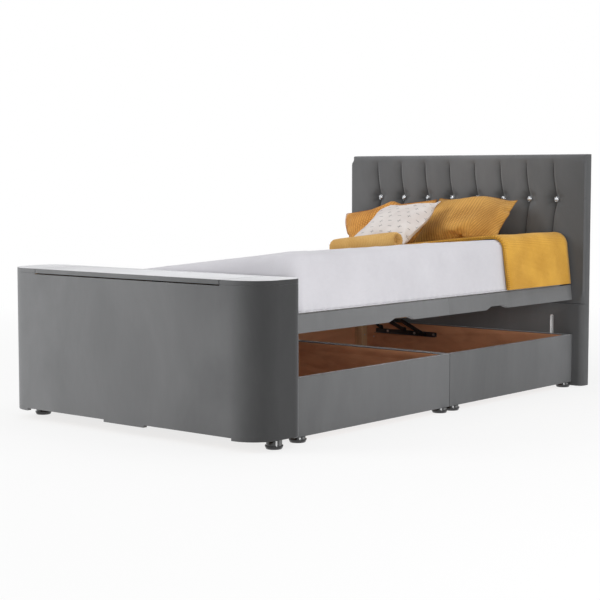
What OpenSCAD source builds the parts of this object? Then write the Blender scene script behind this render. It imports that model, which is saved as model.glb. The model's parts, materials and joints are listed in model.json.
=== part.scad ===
// Upholstered bed for a small double mattress. The storage base lifts along
// its near side, and the foot panel hides a lift that carries a screen.
// Sizes are in millimetres. Up is +Z, the head of the bed is at +Y.

/* [Base] */
// Width of the storage base over its cloth
base_w = 1190; // [1150:5:1230]
// Length of each of the two halves of the base
half_l = 960; // [930:5:1000]
// Height of the base boxes
base_h = 210; // [205:1:230]
// Height of the glides that the base stands on
glide_h = 20; // [16:1:30]
// Diameter of the glides
glide_d = 64; // [50:1:70]
// Thickness of the wall boards
board_t = 18; // [16:0.5:19]
// Thickness of the cloth with its wadding
cover_t = 3; // [2:0.5:3.5]

/* [Platform] */
// Depth of the lifting platform at its edge
deck_h = 66; // [62:1:80]
// Number of cross members in each half of the platform
slat_count = 4; // [3:1:6]
// Height of the finger notches in the near edge
notch_h = 13; // [8:1:16]

/* [Mattress] */
// Thickness of the mattress
mattress_h = 225; // [180:5:260]
// Gap between the mattress and the platform edges
mattress_gap = 8; // [5:1:15]
// Rise of the mattress top from its edges to its middle
crown_h = 7; // [4:1:10]

/* [Headboard] */
// Width of the headboard
head_w = 1290; // [1250:5:1350]
// Height of the headboard top above the floor
head_top = 1027; // [960:1:1100]
// Thickness of the headboard padding
pad_t = 27; // [24:1:32]
// Thickness of the headboard panel
head_board_t = 32; // [25:1:35]
// Spacing of the stitched channels
channel_gap = 139.5; // [130:0.5:142]
// Height of the row of buttons above the floor
button_z = 829; // [780:1:880]
// Diameter of the buttons
button_d = 23; // [20:1:26]

/* [Foot panel] */
// Width of the foot panel
foot_w = 1295; // [1240:5:1350]
// Depth of the foot panel from front to back
foot_d = 252; // [240:1:280]
// Height of the foot panel top above the floor
foot_top = 584; // [570:1:650]
// Radius of the front corners in plan
front_r = 112; // [90:1:120]
// Radius of the rear corners in plan
rear_r = 61; // [50:1:80]
// Length of the fixed top beyond each end of the lid
lid_end = 175.5; // [160:0.5:200]

/* [Screen lift] */
// Travel of each moving stage of the screen lift
stage_travel = 240; // [200:5:250]
// Hole spacing of the screen plate
screen_holes = 200; // [150:50:200]

/* [Bedding] */
// Length of the two long cushions
cushion_l = 500; // [450:5:510]
// Height of the two long cushions
cushion_w = 300; // [280:5:310]
// Thickness of the cushions at the middle
cushion_t = 96; // [80:2:100]
// Side of the square patterned cushion
square_l = 358; // [320:2:370]
// Diameter of the roll cushion
roll_d = 88; // [80:1:92]
// Width of the folded throw along the bed
throw_w = 510; // [450:5:540]
// Thickness of the folded throw
throw_t = 15; // [10:1:18]

/* [Hidden] */
// Which piece to draw, or all of them

// Gap left where two pieces rest against each other
seat_gap = 0.3;
// Radial clearance of a pin in its hole
run_gap = 0.05;
// Overrun of every cut past the faces it goes through
over = 1;
// Overlap of joined shapes inside one piece
lap = 0.2;

// Full length of the base
base_l = 2 * half_l;
// Height of the top of the base boxes
base_top = glide_h + base_h;
// Half of the base width
base_x = base_w / 2;
// Distance from the outside of the base to a wall's inner face
wall_in = cover_t + board_t;
// Front of the headboard padding
head_y = base_l + seat_gap;
// Thickness of the cloth behind the headboard
back_t = 1.2;
// Back of the headboard
head_back = head_y + pad_t + head_board_t + back_t;
// Front face of the foot panel, measured away from the base
panel_y = seat_gap + foot_d;
// Thickness of the washers and the heads of the bolts behind the headboard
washer_t = 2;
bolt_head_t = 5;
// Middle of the whole length
mid_y = (head_back + washer_t + bolt_head_t - panel_y) / 2;

// Tilt of the platform as drawn, partly open
rest_tilt = 7;
// Turn of the platform for each degree of the main arm
tilt_gain = 1.105;
// Pivot of the main arm on the base rail, and its height above the box bottom
main_x = -307;
main_rise = 176;
main_z = main_rise + glide_h;
// Length of the main arm between its pivots
main_l = 204.7;
// Slope of the main arm with the platform closed
main_low = 15.94;
// Pivot of the guide arm on the base rail
guide_x = -445;
guide_rise = 178;
guide_z = guide_rise + glide_h;
// Pivot of the guide arm on the closed platform
guide_up_x = -556;
guide_up_rise = 230.1;
guide_up_z = guide_up_rise + glide_h;
// Pivot of the gas strut on the base rail
strut_x = -184;
strut_rise = 162.2;
strut_z = strut_rise + glide_h;
// Pivot of the gas strut on the closed platform
strut_up_x = -437;
strut_up_rise = 245.6;
strut_up_z = strut_up_rise + glide_h;

// Main arm slope as drawn, and its upper pivot closed and as drawn
main_now = main_low + rest_tilt / tilt_gain;
low_x = main_x - main_l * cos(main_low);
low_z = main_z + main_l * sin(main_low);
now_x = main_x - main_l * cos(main_now);
now_z = main_z + main_l * sin(main_now);

// A point of the closed platform, moved to where it is as drawn
function lifted(x, z) = [
    now_x + (x - low_x) * cos(rest_tilt) - (z - low_z) * sin(rest_tilt),
    now_z + (x - low_x) * sin(rest_tilt) + (z - low_z) * cos(rest_tilt)];

// Upper pivots of the guide arm and of the strut as drawn
guide_up = lifted(guide_up_x, guide_up_z);
strut_up = lifted(strut_up_x, strut_up_z);

// Moves bed positions, counted from the foot end of the base, to the middle
module placed() translate([0, -mid_y, 0]) children();

// Carries closed platform positions to where they are as drawn
module on_platform() placed() translate([now_x, 0, now_z])
    rotate([0, -rest_tilt, 0]) translate([-low_x, 0, -low_z]) children();

// A piece at the foot end and its mirror at the head end
module both_ends() {
    children();
    translate([0, base_l, 0]) mirror([0, 1, 0]) children();
}

// A piece on the near side and its mirror on the far side
module both_sides() {
    children();
    mirror([1, 0, 0]) children();
}

// A box from its lowest corner to its highest
module block(low, high) translate(low) cube(high - low);

// A round bar along Y from a point
module bar_y(x, y, z, r, l) translate([x, y, z]) rotate([-90, 0, 0]) cylinder(r = r, h = l);

// Number of sides drawn on round pieces
$fn = 48;

// The storage base

// Length of a side board, from end board to end board of one half
side_l = half_l - 2 * wall_in - 2 * seat_gap;
// Sizes of the battens in the corners
batten_w = 44;
batten_drop = 30;
batten_h = base_h - batten_drop;
// Thickness of the floor panels
floor_t = 9;
// Thickness of the cloth at the top of the walls
lip_t = cover_t;
// Bolt sizes
bolt_r = 4;
head_r = 7;
// Where the bolts that join the two halves sit
join_x = 505;
join_rise = 174;
join_z = join_rise + glide_h;
// Where the bolts to the headboard sit
slot_x = 491;
slot_w = 17;
slot_low = 60;
slot_top = 315;
head_bolt_low = 95;
head_bolt_high = 150;
// Where the bolts to the foot panel sit: clear of the battens and on the flat rear board
bolt_clear = 3;
panel_bolt_in = 45;
panel_bolt_x = min(base_x - wall_in - batten_w - head_r - bolt_clear,
    foot_w / 2 - rear_r - panel_bolt_in);
panel_bolt_low = 80;
panel_bolt_high = 140;

module half_sides() both_sides()
    block([base_x - wall_in, wall_in + seat_gap, glide_h],
        [base_x - cover_t, wall_in + seat_gap + side_l, base_top - lip_t]);

module base_side_boards() color("#6b4a33") placed() {
    half_sides();
    translate([0, half_l, 0]) half_sides();
}

// One end board across a half, its outer face toward the foot
module end_board() block([-base_x + cover_t, cover_t, glide_h],
    [base_x - cover_t, wall_in, base_top - lip_t]);

module rail_holes() for (x = rail_bolt_x)
    bar_y(x, wall_in - rail_bolt_l - over, rail_bolt_z, rail_bolt_r + run_gap, rail_bolt_l + 2 * over);

module base_end_boards() color("#6b4a33") placed() {
    difference() {
        end_board();
        rail_holes();
        for (x = [-panel_bolt_x, panel_bolt_x], z = [panel_bolt_low, panel_bolt_high])
            bar_y(x, -over, z, bolt_r + run_gap, wall_in + 2 * over);
    }
    difference() {
        translate([0, base_l, 0]) mirror([0, 1, 0]) end_board();
        translate([0, base_l, 0]) mirror([0, 1, 0]) rail_holes();
        for (x = [-slot_x, slot_x], z = [head_bolt_low, head_bolt_high])
            bar_y(x, base_l - wall_in - over, z, bolt_r + run_gap, wall_in + 2 * over);
    }
    for (side = [0, 1]) difference() {
        translate([0, half_l, 0]) mirror([0, side, 0]) end_board();
        for (x = [-join_x, join_x])
            bar_y(x, half_l - wall_in - over, join_z, bolt_r + run_gap, 2 * wall_in + 2 * over);
    }
}

module base_floor_panels() color("#7d5a40") placed() for (y = [0, half_l])
    block([-base_x + wall_in + seat_gap, y + wall_in + seat_gap, glide_h],
        [base_x - wall_in - seat_gap, y + half_l - wall_in - seat_gap, glide_h + floor_t]);

module half_battens() both_sides() for (y = [wall_in + seat_gap, half_l - wall_in - seat_gap - batten_w])
    translate([base_x - wall_in - seat_gap - batten_w, y, glide_h + floor_t + seat_gap])
        cube([batten_w, batten_w, batten_h - floor_t]);

module corner_battens() color("#c8a070") placed() {
    half_battens();
    translate([0, half_l, 0]) half_battens();
}

// Cloth round the four outer faces of one half and over its wall tops
module half_cover(cut_x, cut_z) difference() {
    block([-base_x, seat_gap / 2, glide_h], [base_x, half_l - seat_gap / 2, base_top]);
    block([-base_x + cover_t - lap / 2, cover_t - lap / 2, glide_h - over],
        [base_x - cover_t + lap / 2, half_l - cover_t + lap / 2, base_top - lip_t]);
    block([-base_x + wall_in, wall_in, glide_h - over],
        [base_x - wall_in, half_l - wall_in, base_top + over]);
    for (x = [-join_x, join_x])
        bar_y(x, half_l - wall_in, join_z, bolt_r + over, wall_in + over);
    for (x = [-cut_x, cut_x], z = cut_z)
        bar_y(x, -over, z, bolt_r + over, wall_in);
}

module foot_half_cover() color("#77787a") placed()
    half_cover(panel_bolt_x, [panel_bolt_low, panel_bolt_high]);

module head_half_cover() color("#77787a") placed()
    translate([0, base_l, 0]) mirror([0, 1, 0]) half_cover(slot_x, [head_bolt_low, head_bolt_high]);

// Bolts through the two middle walls, each with a hand knob and a nut
knob_r = 14;
knob_t = 16;
module joining_bolts() color("#1d1d1f") placed() for (x = [-join_x, join_x]) {
    bar_y(x, half_l - wall_in - seat_gap - knob_t, join_z, knob_r, knob_t);
    bar_y(x, half_l - wall_in - seat_gap - lap, join_z, bolt_r, 2 * wall_in + 2 * seat_gap + 2 * lap);
    bar_y(x, half_l + wall_in + seat_gap, join_z, head_r, bolt_head_t);
}

// Where the glides stand: distance in from the sides and from each end
glide_in_x = 19;
glide_in_y = 42;
panel_glide_in = 48.5;
panel_glide_y = 112;
// Height of the foot panel's bottom edge and of its wider cut-outs
panel_low = 37;
panel_cut = 46;
dome_share = 0.55;
rim_t = 4;

// Runs a glide at each place under the base and under the foot panel
module glide_places() {
    both_sides() for (y = [glide_in_y, half_l - glide_in_y, half_l + glide_in_y, base_l - glide_in_y])
        translate([base_x - glide_in_x, y, 0]) children(0);
    both_sides() translate([foot_w / 2 - panel_glide_in, -panel_glide_y, 0]) children(1);
}

module dome(h) {
    cylinder(r1 = glide_d / 2 - rim_t, r2 = glide_d / 2 - lap, h = glide_h * (1 - dome_share) - seat_gap);
    translate([0, 0, glide_h * (1 - dome_share) - seat_gap - lap])
        cylinder(r = glide_d / 2 - rim_t, h = h - glide_h * (1 - dome_share) + seat_gap + lap);
}

module rim() translate([0, 0, glide_h * (1 - dome_share)]) difference() {
    cylinder(r = glide_d / 2, h = rim_t);
    translate([0, 0, -over]) cylinder(r = glide_d / 2 - rim_t + run_gap, h = rim_t + 2 * over);
}

module glide_domes() color("#18181a") placed() glide_places() {
    dome(glide_h);
    dome(panel_cut);
}

module glide_rims() color("#b9bcc0") placed() glide_places() {
    rim();
    rim();
}

// The lifting platform

// Gap between the closed platform and the base
close_gap = 0.5;
// Bottom and top of the closed platform
deck_low = base_top + close_gap;
deck_top = deck_low + deck_h;
// Half width of the platform
deck_x = base_x - 4 * close_gap - 2 * over;
// Thickness of the platform's edge boards and of its decks
edge_t = 15;
deck_t = 12;
// Underside of the decks
deck_under = deck_top - cover_t - deck_t;
// Distance from the platform's side to the inside of its edge board
edge_in = cover_t + edge_t;
// Lengthways places of the finger notches in each half
notch_share = [0.669, 0.365];
notch_l = 92;
notch_slope = 38;
// Cross member sizes
slat_w = 45;
slat_h = 30;

// The outline of one finger notch, cut upward from the platform's bottom
module notch(y) translate([deck_x - edge_in - over, y, deck_low - over])
    rotate([90, 0, 90]) linear_extrude(edge_in + 2 * over)
        polygon([[-notch_l / 2 - notch_slope, 0], [-notch_l / 2 - notch_slope, over],
            [-notch_l / 2, over + notch_h], [notch_l / 2, over + notch_h],
            [notch_l / 2 + notch_slope, over], [notch_l / 2 + notch_slope, 0]]);

module notches() {
    notch(half_l * notch_share[0]);
    notch(half_l + half_l * notch_share[1]);
}

module platform_side_rails() color("#b98a5a") on_platform() difference() {
    both_sides() for (y = [0, half_l])
        block([deck_x - edge_in, y + cover_t + seat_gap, deck_low + cover_t],
            [deck_x - cover_t, y + half_l - cover_t - seat_gap, deck_under - seat_gap]);
    notches();
}

// One cross board at an end of a half
module cross_board() block([-deck_x + edge_in + seat_gap, cover_t + seat_gap, deck_low + cover_t],
    [deck_x - edge_in - seat_gap, wall_in, deck_under - seat_gap]);

module bracket_holes() for (x = bracket_bolt_x)
    bar_y(x, wall_in - rail_bolt_l - over, bracket_bolt_z, rail_bolt_r + run_gap, rail_bolt_l + 2 * over);

module platform_end_rails() color("#b98a5a") on_platform() {
    both_ends() difference() {
        cross_board();
        bracket_holes();
    }
    difference() {
        translate([0, half_l, 0]) cross_board();
        deck_bolt_holes();
    }
    difference() {
        translate([0, half_l, 0]) mirror([0, 1, 0]) cross_board();
        deck_bolt_holes();
    }
}

module platform_slats() color("#c8a070") on_platform() for (half = [0, 1], i = [1 : slat_count])
    translate([0, half * half_l + i * half_l / (slat_count + 1), 0])
        block([-deck_x + edge_in + seat_gap, -slat_w / 2, deck_under - seat_gap - slat_h],
            [deck_x - edge_in - seat_gap, slat_w / 2, deck_under - seat_gap]);

module platform_decks() color("#a9784c") on_platform() for (y = [0, half_l])
    block([-deck_x + cover_t, y + cover_t + seat_gap, deck_under],
        [deck_x - cover_t, y + half_l - cover_t - seat_gap, deck_under + deck_t - lap / 2]);

// Cloth over one half of the platform, wrapped under its edge boards
module deck_cover(y) difference() {
    block([-deck_x, y + seat_gap / 2, deck_low], [deck_x, y + half_l - seat_gap / 2, deck_top]);
    block([-deck_x + cover_t - lap / 2, y + cover_t - lap / 2, deck_low + cover_t - lap / 2],
        [deck_x - cover_t + lap / 2, y + half_l - cover_t + lap / 2, deck_top - cover_t]);
    block([-deck_x + edge_in, y + wall_in, deck_low - over],
        [deck_x - edge_in, y + half_l - wall_in, deck_low + cover_t + over]);
    notches();
    deck_bolt_holes();
}

module foot_deck_cover() color("#77787a") on_platform() deck_cover(0);

module head_deck_cover() color("#77787a") on_platform() deck_cover(half_l);

// Bolts through the two middle cross boards, each with a nut
deck_bolt_x = [-440, 0, 440];
deck_bolt_z = 257;
module deck_bolt_holes() for (x = deck_bolt_x)
    bar_y(x, half_l - wall_in - over, deck_bolt_z, bolt_r + run_gap, 2 * wall_in + 2 * over);

module deck_bolts() color("#8d9094") on_platform() for (x = deck_bolt_x) {
    bar_y(x, half_l - wall_in - bolt_head_t, deck_bolt_z, head_r, bolt_head_t);
    bar_y(x, half_l - wall_in - lap, deck_bolt_z, bolt_r, 2 * wall_in + 2 * lap);
    bar_y(x, half_l + wall_in, deck_bolt_z, head_r, bolt_head_t);
}

// The lift linkage

// Rail and bracket steel thickness
steel_t = 3;
// Radius of the ears that carry the pivots above the rail
ear_r = 12;
// Ends of the rail on the base wall, its width, bottom and top
rail_x0 = -475;
rail_x1 = -118;
rail_w = 21;
rail_low = main_z - ear_r * 2;
rail_high = rail_low + rail_w;
// Depth of the folded edge of the rail
rail_fold = 18;
// Bolts that hold the rails and the brackets
rail_bolt_x = [-403, -245, -134];
rail_bolt_z = rail_low + rail_w / 2;
rail_bolt_r = 3;
rail_bolt_l = 14;
rail_head_r = 6.5;
rail_head_t = 2.6;
// Bracket ends on the platform, its bottom and top
bracket_x0 = -570;
bracket_x1 = -415;
bracket_in = 7.5;
bracket_low = deck_low + bracket_in;
bracket_high = deck_under - 2 * seat_gap;
bracket_bolt_x = [-475, -530];
bracket_bolt_in = 4;
bracket_bolt_z = bracket_low + bracket_bolt_in;
bracket_fold = 30;
// Arm sizes
arm_t = 5;
main_end_r = 11;
main_w = 17;
guide_end_r = 9;
guide_w = 13;
// Pin sizes
pin_r = 5;
pin_head_r = 8;
pin_head_t = 3;
guide_pin_r = 4;
// Strut sizes
tube_r = 9;
rod_r = 4;
eye_r = 8;
eye_t = 8;
tube_start = 12;
tube_l = 150;
rod_start = 42;
bore_start = 24;
// Layers counted from the wall's inner face
arm_y = wall_in + steel_t + seat_gap;
strut_y = arm_y + arm_t + seat_gap + tube_r;

// Strut length and slope as drawn
strut_now = sqrt(pow(strut_up[0] - strut_x, 2) + pow(strut_up[1] - strut_z, 2));
strut_turn = atan2(strut_up[1] - strut_z, strut_up[0] - strut_x);

module base_rails() color("#1b1b1d") placed() both_ends() {
    difference() {
        union() {
            block([rail_x0, wall_in, rail_low], [rail_x1, wall_in + steel_t, rail_high]);
            bar_y(main_x, wall_in, main_z, ear_r, steel_t);
            bar_y(guide_x, wall_in, guide_z, ear_r, steel_t);
            block([main_x - ear_r, wall_in, rail_high - over], [main_x + ear_r, wall_in + steel_t, main_z]);
            block([guide_x - ear_r, wall_in, rail_high - over],
                [guide_x + ear_r, wall_in + steel_t, guide_z]);
        }
        for (x = rail_bolt_x)
            bar_y(x, wall_in - over, rail_bolt_z, rail_bolt_r + run_gap, steel_t + 2 * over);
        bar_y(main_x, wall_in - over, main_z, pin_r + run_gap, steel_t + 2 * over);
        bar_y(guide_x, wall_in - over, guide_z, guide_pin_r + run_gap, steel_t + 2 * over);
        bar_y(strut_x, wall_in - over, strut_z, guide_pin_r + run_gap, steel_t + 2 * over);
    }
    block([rail_x0, wall_in + steel_t - lap, rail_low],
        [rail_x1, wall_in + rail_fold, rail_low + steel_t / 2]);
}

module rail_bolts() color("#c4c6c9") placed() both_ends() for (x = rail_bolt_x) {
    bar_y(x, wall_in - rail_bolt_l, rail_bolt_z, rail_bolt_r, rail_bolt_l + steel_t + seat_gap + lap);
    bar_y(x, wall_in + steel_t + run_gap, rail_bolt_z, rail_head_r, rail_head_t);
}

// A pin through a steel plate and an arm, with a flat head
module arm_pin(x, z, r) {
    bar_y(x, wall_in, z, r, steel_t + 2 * seat_gap + arm_t + lap);
    bar_y(x, wall_in + steel_t + 2 * seat_gap + arm_t, z, pin_head_r, pin_head_t);
}

// A pin that carries a strut eye, held away from the plate by a collar
module strut_pin(x, z) {
    bar_y(x, wall_in, z, guide_pin_r, strut_y - wall_in + eye_t / 2 + seat_gap + lap);
    bar_y(x, wall_in + steel_t + run_gap, z, pin_head_r - over,
        strut_y - wall_in - steel_t - eye_t / 2 - run_gap - seat_gap);
    bar_y(x, strut_y + eye_t / 2 + seat_gap, z, pin_head_r - over, pin_head_t);
}

module base_pins() color("#8d9094") placed() both_ends() {
    arm_pin(main_x, main_z, pin_r);
    arm_pin(guide_x, guide_z, guide_pin_r);
    strut_pin(strut_x, strut_z);
}

// A flat arm along +X from its lower pivot, with round ends
module arm(l, end_r, w, low_r, high_r) difference() {
    union() {
        cylinder(r = end_r, h = arm_t);
        translate([l, 0, 0]) cylinder(r = end_r, h = arm_t);
        translate([0, -w / 2, 0]) cube([l, w, arm_t]);
    }
    translate([0, 0, -over]) cylinder(r = low_r + run_gap, h = arm_t + 2 * over);
    translate([l, 0, -over]) cylinder(r = high_r, h = arm_t + 2 * over);
}

// Lays a flat piece on the wall, turned from +X up by an angle
module on_wall(x, z, turn, y) translate([x, y, z]) rotate([90, -turn, 0])
    mirror([0, 0, 1]) children();

module main_arms() color("#1b1b1d") placed() both_ends()
    on_wall(main_x, main_z, atan2(now_z - main_z, now_x - main_x), arm_y)
        arm(main_l, main_end_r, main_w, pin_r, pin_r + run_gap);

// Room round the guide arm's upper pin, which the tree leaves open
open_gap = 2.4;
guide_l = sqrt(pow(guide_up[0] - guide_x, 2) + pow(guide_up[1] - guide_z, 2));

module guide_arms() color("#1b1b1d") placed() both_ends()
    on_wall(guide_x, guide_z, atan2(guide_up[1] - guide_z, guide_up[0] - guide_x), arm_y)
        arm(guide_l, guide_end_r, guide_w, guide_pin_r, guide_pin_r + open_gap);

module strut_tubes() color("#202124") placed() both_ends()
    on_wall(strut_x, strut_z, strut_turn, strut_y) difference() {
        union() {
            translate([0, 0, -eye_t / 2]) cylinder(r = eye_r, h = eye_t);
            rotate([0, 90, 0]) cylinder(r = rod_r, h = tube_start + lap);
            translate([tube_start, 0, 0]) rotate([0, 90, 0]) cylinder(r = tube_r, h = tube_l);
        }
        translate([0, 0, -eye_t / 2 - over]) cylinder(r = guide_pin_r + run_gap, h = eye_t + 2 * over);
        translate([bore_start, 0, 0]) rotate([0, 90, 0]) cylinder(r = rod_r, h = tube_l);
    }

module strut_rods() color("#c4c6c9") placed() both_ends()
    on_wall(strut_x, strut_z, strut_turn, strut_y) difference() {
        union() {
            translate([rod_start, 0, 0]) rotate([0, 90, 0])
                cylinder(r = rod_r - run_gap, h = strut_now - rod_start - eye_r);
            translate([strut_now, 0, -eye_t / 2]) cylinder(r = eye_r + open_gap, h = eye_t);
        }
        translate([strut_now, 0, -eye_t / 2 - over])
            cylinder(r = guide_pin_r + 2 * open_gap - over, h = eye_t + 2 * over);
    }

module platform_brackets() color("#1b1b1d") on_platform() both_ends() {
    difference() {
        block([bracket_x0, wall_in, bracket_low], [bracket_x1, wall_in + steel_t, bracket_high]);
        for (x = bracket_bolt_x)
            bar_y(x, wall_in - over, bracket_bolt_z, rail_bolt_r + run_gap, steel_t + 2 * over);
        bar_y(low_x, wall_in - over, low_z, pin_r + run_gap, steel_t + 2 * over);
        bar_y(guide_up_x, wall_in - over, guide_up_z, guide_pin_r + run_gap, steel_t + 2 * over);
        bar_y(strut_up_x, wall_in - over, strut_up_z, guide_pin_r + run_gap, steel_t + 2 * over);
    }
    block([bracket_x0, wall_in + steel_t - lap, bracket_high - steel_t / 2],
        [bracket_x1, wall_in + bracket_fold, bracket_high]);
}

module platform_pins() color("#8d9094") on_platform() both_ends() {
    arm_pin(low_x, low_z, pin_r);
    arm_pin(guide_up_x, guide_up_z, guide_pin_r);
    strut_pin(strut_up_x, strut_up_z);
    for (x = bracket_bolt_x)
        bar_y(x, wall_in - rail_bolt_l, bracket_bolt_z, rail_bolt_r, rail_bolt_l + steel_t);
}

// The mattress, cloth

// Points round a rectangle with rounded corners
corner_steps = 6;
function outline(hx, hy, r, z) = [for (q = [0 : 3], i = [0 : corner_steps])
    let (a = 90 * q + 90 * i / corner_steps,
        sx = (q == 0 || q == 3) ? 1 : -1,
        sy = q < 2 ? 1 : -1)
    [sx * (hx - r) + r * cos(a), sy * (hy - r) + r * sin(a), z]];

// Cap of an outline, fanned from its first point, or laced across a flat strip
function cap(n, first) = [for (i = [1 : n - 2]) first ? [0, i, i + 1] : [0, i + 1, i]];
function lace(n, first) = [for (i = [0 : n / 2 - 2], k = [0, 1])
    let (a = k == 0 ? [i, i + 1, n - 2 - i] : [i, n - 2 - i, n - 1 - i])
    first ? a : [a[0], a[2], a[1]]];

// A solid from a stack of equal outlines, closed flat at both ends
module stack(rings, strip = false) {
    n = len(rings[0]);
    m = len(rings);
    polyhedron(
        points = [for (ring = rings, p = ring) p],
        faces = concat(
            strip ? lace(n, true) : cap(n, true),
            [for (k = [0 : m - 2], i = [0 : n - 1])
                [k * n + i, (k + 1) * n + i, (k + 1) * n + (i + 1) % n]],
            [for (k = [0 : m - 2], i = [0 : n - 1])
                [k * n + i, (k + 1) * n + (i + 1) % n, k * n + (i + 1) % n]],
            [for (f = strip ? lace(n, false) : cap(n, false)) [for (i = f) (m - 1) * n + i]]));
}

// Edge radii of the mattress in section and of its corners in plan
foot_round = 18;
top_round = 36;
corner_r = 70;
side_swell = 3;
// Half sizes of the mattress
bed_x = deck_x - mattress_gap;
bed_y = half_l - mattress_gap;
// Gap between the mattress and the cloth over it, and the cloth's thickness
sheet_gap = 0.4;
sheet_t = 2.4;
// How far the crown reaches in from the edge
crown_in = 330;

// Section of the mattress: inset from its side, height, slope of its face
mattress_side = concat(
    [for (a = [-90 : 30 : 0]) [foot_round - foot_round * cos(a), foot_round + foot_round * sin(a), a]],
    [[-side_swell, mattress_h / 2, 0]],
    [for (a = [0 : 22.5 : 90])
        [top_round - top_round * cos(a), mattress_h - crown_h - top_round + top_round * sin(a), a]],
    [for (s = [0.3, 0.6, 1])
        [top_round + (crown_in - top_round) * s, mattress_h - crown_h * (1 - s) * (1 - s), 90]]);

// The part of that section that the fitted sheet covers
sheet_side = concat([[0, foot_round / 3, 0], [0, foot_round, 0]],
    [for (i = [4 : len(mattress_side) - 1]) mattress_side[i]]);

function offset_ring(p, d) = outline(bed_x - p[0] + d * cos(p[2]), bed_y - p[0] + d * cos(p[2]),
    max(corner_r - p[0] + d * cos(p[2]), corner_r / 2), p[1] + d * sin(p[2]));

// Puts the middle of the mattress on the platform
module on_bed() on_platform() translate([0, half_l, deck_top + seat_gap]) children();

module mattress() color("#d9d6cf") on_bed()
    stack([for (p = mattress_side) offset_ring(p, 0)]);

module fitted_sheet() color("#eeedf0") on_bed() stack(concat(
    [for (i = [len(sheet_side) - 1 : -1 : 0]) offset_ring(sheet_side[i], sheet_gap)],
    [for (p = sheet_side) offset_ring(p, sheet_gap + sheet_t)]));

// Top of the sheet, counted from the middle of the mattress bottom
bed_top = mattress_h + sheet_gap + sheet_t;
// The throw: its far edge, and how far its end stays in from the mattress's
throw_far = 60;
throw_in = 12;
throw_y0 = bed_y - throw_in - throw_w;
throw_gap = 0.6;
throw_fold = 3;
throw_steps = 12;

// Path of the throw's underside over the near edge, with its face slope
throw_path = concat(
    [for (i = [0 : 4]) [throw_far + (bed_x - crown_in - throw_far) * i / 4, mattress_h, 90]],
    [for (i = [len(mattress_side) - 2 : -1 : 4])
        [bed_x - mattress_side[i][0], mattress_side[i][1], mattress_side[i][2]]],
    [[bed_x, foot_round, 0], [bed_x, foot_round / 3, 0]]);

// Height of the ripples that run across the throw
function ripple(j, s) = throw_fold * s * (1 - cos(360 * j / 4)) / 2;

function throw_ring(p, k) = let (
        base = sheet_gap + sheet_t + throw_gap,
        s = k / len(throw_path))
    concat(
        [for (j = [0 : throw_steps]) let (d = base + ripple(j, s))
            [p[0] + d * cos(p[2]), throw_y0 + throw_w * j / throw_steps, p[1] + d * sin(p[2])]],
        [for (j = [throw_steps : -1 : 0]) let (d = base + ripple(j, s) + throw_t)
            [p[0] + d * cos(p[2]), throw_y0 + throw_w * j / throw_steps, p[1] + d * sin(p[2])]]);

module throw() color("#d49a35") on_bed()
    stack([for (k = [len(throw_path) - 1 : -1 : 0]) throw_ring(throw_path[k], k)], true);

// Number of steps across a cushion
grid_n = 16;
// How far a cushion's sides are drawn in between its corners
draw_share = 0.045;
crown_power = 0.55;

function cushion_h(u, v) = pow((1 - u * u) * (1 - v * v), crown_power);
function cushion_pt(u, v, l, w, t, s) = [
    l / 2 * u - w / 2 * u * draw_share * (1 - v * v),
    w / 2 * v - w / 2 * v * draw_share * (1 - u * u),
    s * t / 2 * cushion_h(u, v)];

// A cushion lying flat, crowned on both faces, with a sharp seam
module cushion(l, w, t) {
    n = grid_n;
    step = [for (i = [0 : n]) sin(90 * (2 * i / n - 1))];
    row = n + 1;
    polyhedron(
        points = concat(
            [for (i = [0 : n], j = [0 : n]) cushion_pt(step[i], step[j], l, w, t, 1)],
            [for (i = [1 : n - 1], j = [1 : n - 1]) cushion_pt(step[i], step[j], l, w, t, -1)]),
        faces = concat(
            [for (i = [0 : n - 1], j = [0 : n - 1]) each halves(
                [i * row + j, (i + 1) * row + j, (i + 1) * row + j + 1, i * row + j + 1],
                (i < n / 2) == (j < n / 2))],
            [for (i = [0 : n - 1], j = [0 : n - 1]) each halves(
                [under(i, j, n), under(i, j + 1, n), under(i + 1, j + 1, n), under(i + 1, j, n)],
                (i < n / 2) == (j < n / 2))]));
}

// The two triangles of a grid cell, cut toward the middle of the cushion
function halves(c, rising) = rising ? [[c[0], c[2], c[1]], [c[0], c[3], c[2]]]
    : [[c[0], c[3], c[1]], [c[1], c[3], c[2]]];

// Number of a point on a cushion's lower face, shared with the top at the seam
function under(i, j, n) = (i == 0 || j == 0 || i == n || j == n) ? i * (n + 1) + j
    : (n + 1) * (n + 1) + (i - 1) * (n - 1) + j - 1;

// Middles of the cushions: across, along from the bed's middle, up from the sheet
far_x = -306;
far_y = 804;
far_z = 104.6;
pattern_x = -79;
pattern_y = 618;
pattern_z = 121.6;
near_x = 198;
near_y = 812;
near_z = 120.7;
roll_x = -92;
roll_y = 381;
// How far each cushion leans back, turns on the bed, and turns in its own plane
far_angles = [44, 5, 2];
pattern_angles = [31, 0, -9];
near_angles = [41, 0, -3];

module lean(angles) rotate([angles[0], 0, angles[1]]) rotate([0, 0, angles[2]]) children();

module far_cushion() color("#cf9433") on_bed() translate([far_x, far_y, bed_top + far_z])
    lean(far_angles) cushion(cushion_l, cushion_w, cushion_t);

module patterned_cushion() color("#d8d4cd") on_bed()
    translate([pattern_x, pattern_y, bed_top + pattern_z])
    lean(pattern_angles) cushion(square_l, square_l, cushion_t);

module near_cushion() color("#d49a35") on_bed() translate([near_x, near_y, bed_top + near_z])
    lean(near_angles) cushion(cushion_l, cushion_w, cushion_t);

// The roll cushion: its length, and how far its ends are gathered in
roll_l = 385;
roll_gather_share = 0.16;
roll_n = 20;
roll_side_shares = [[0.02, 0.97], [0.35, 1], [0.75, 0.985], [0.95, 0.9], [1, 0.72]];

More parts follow.
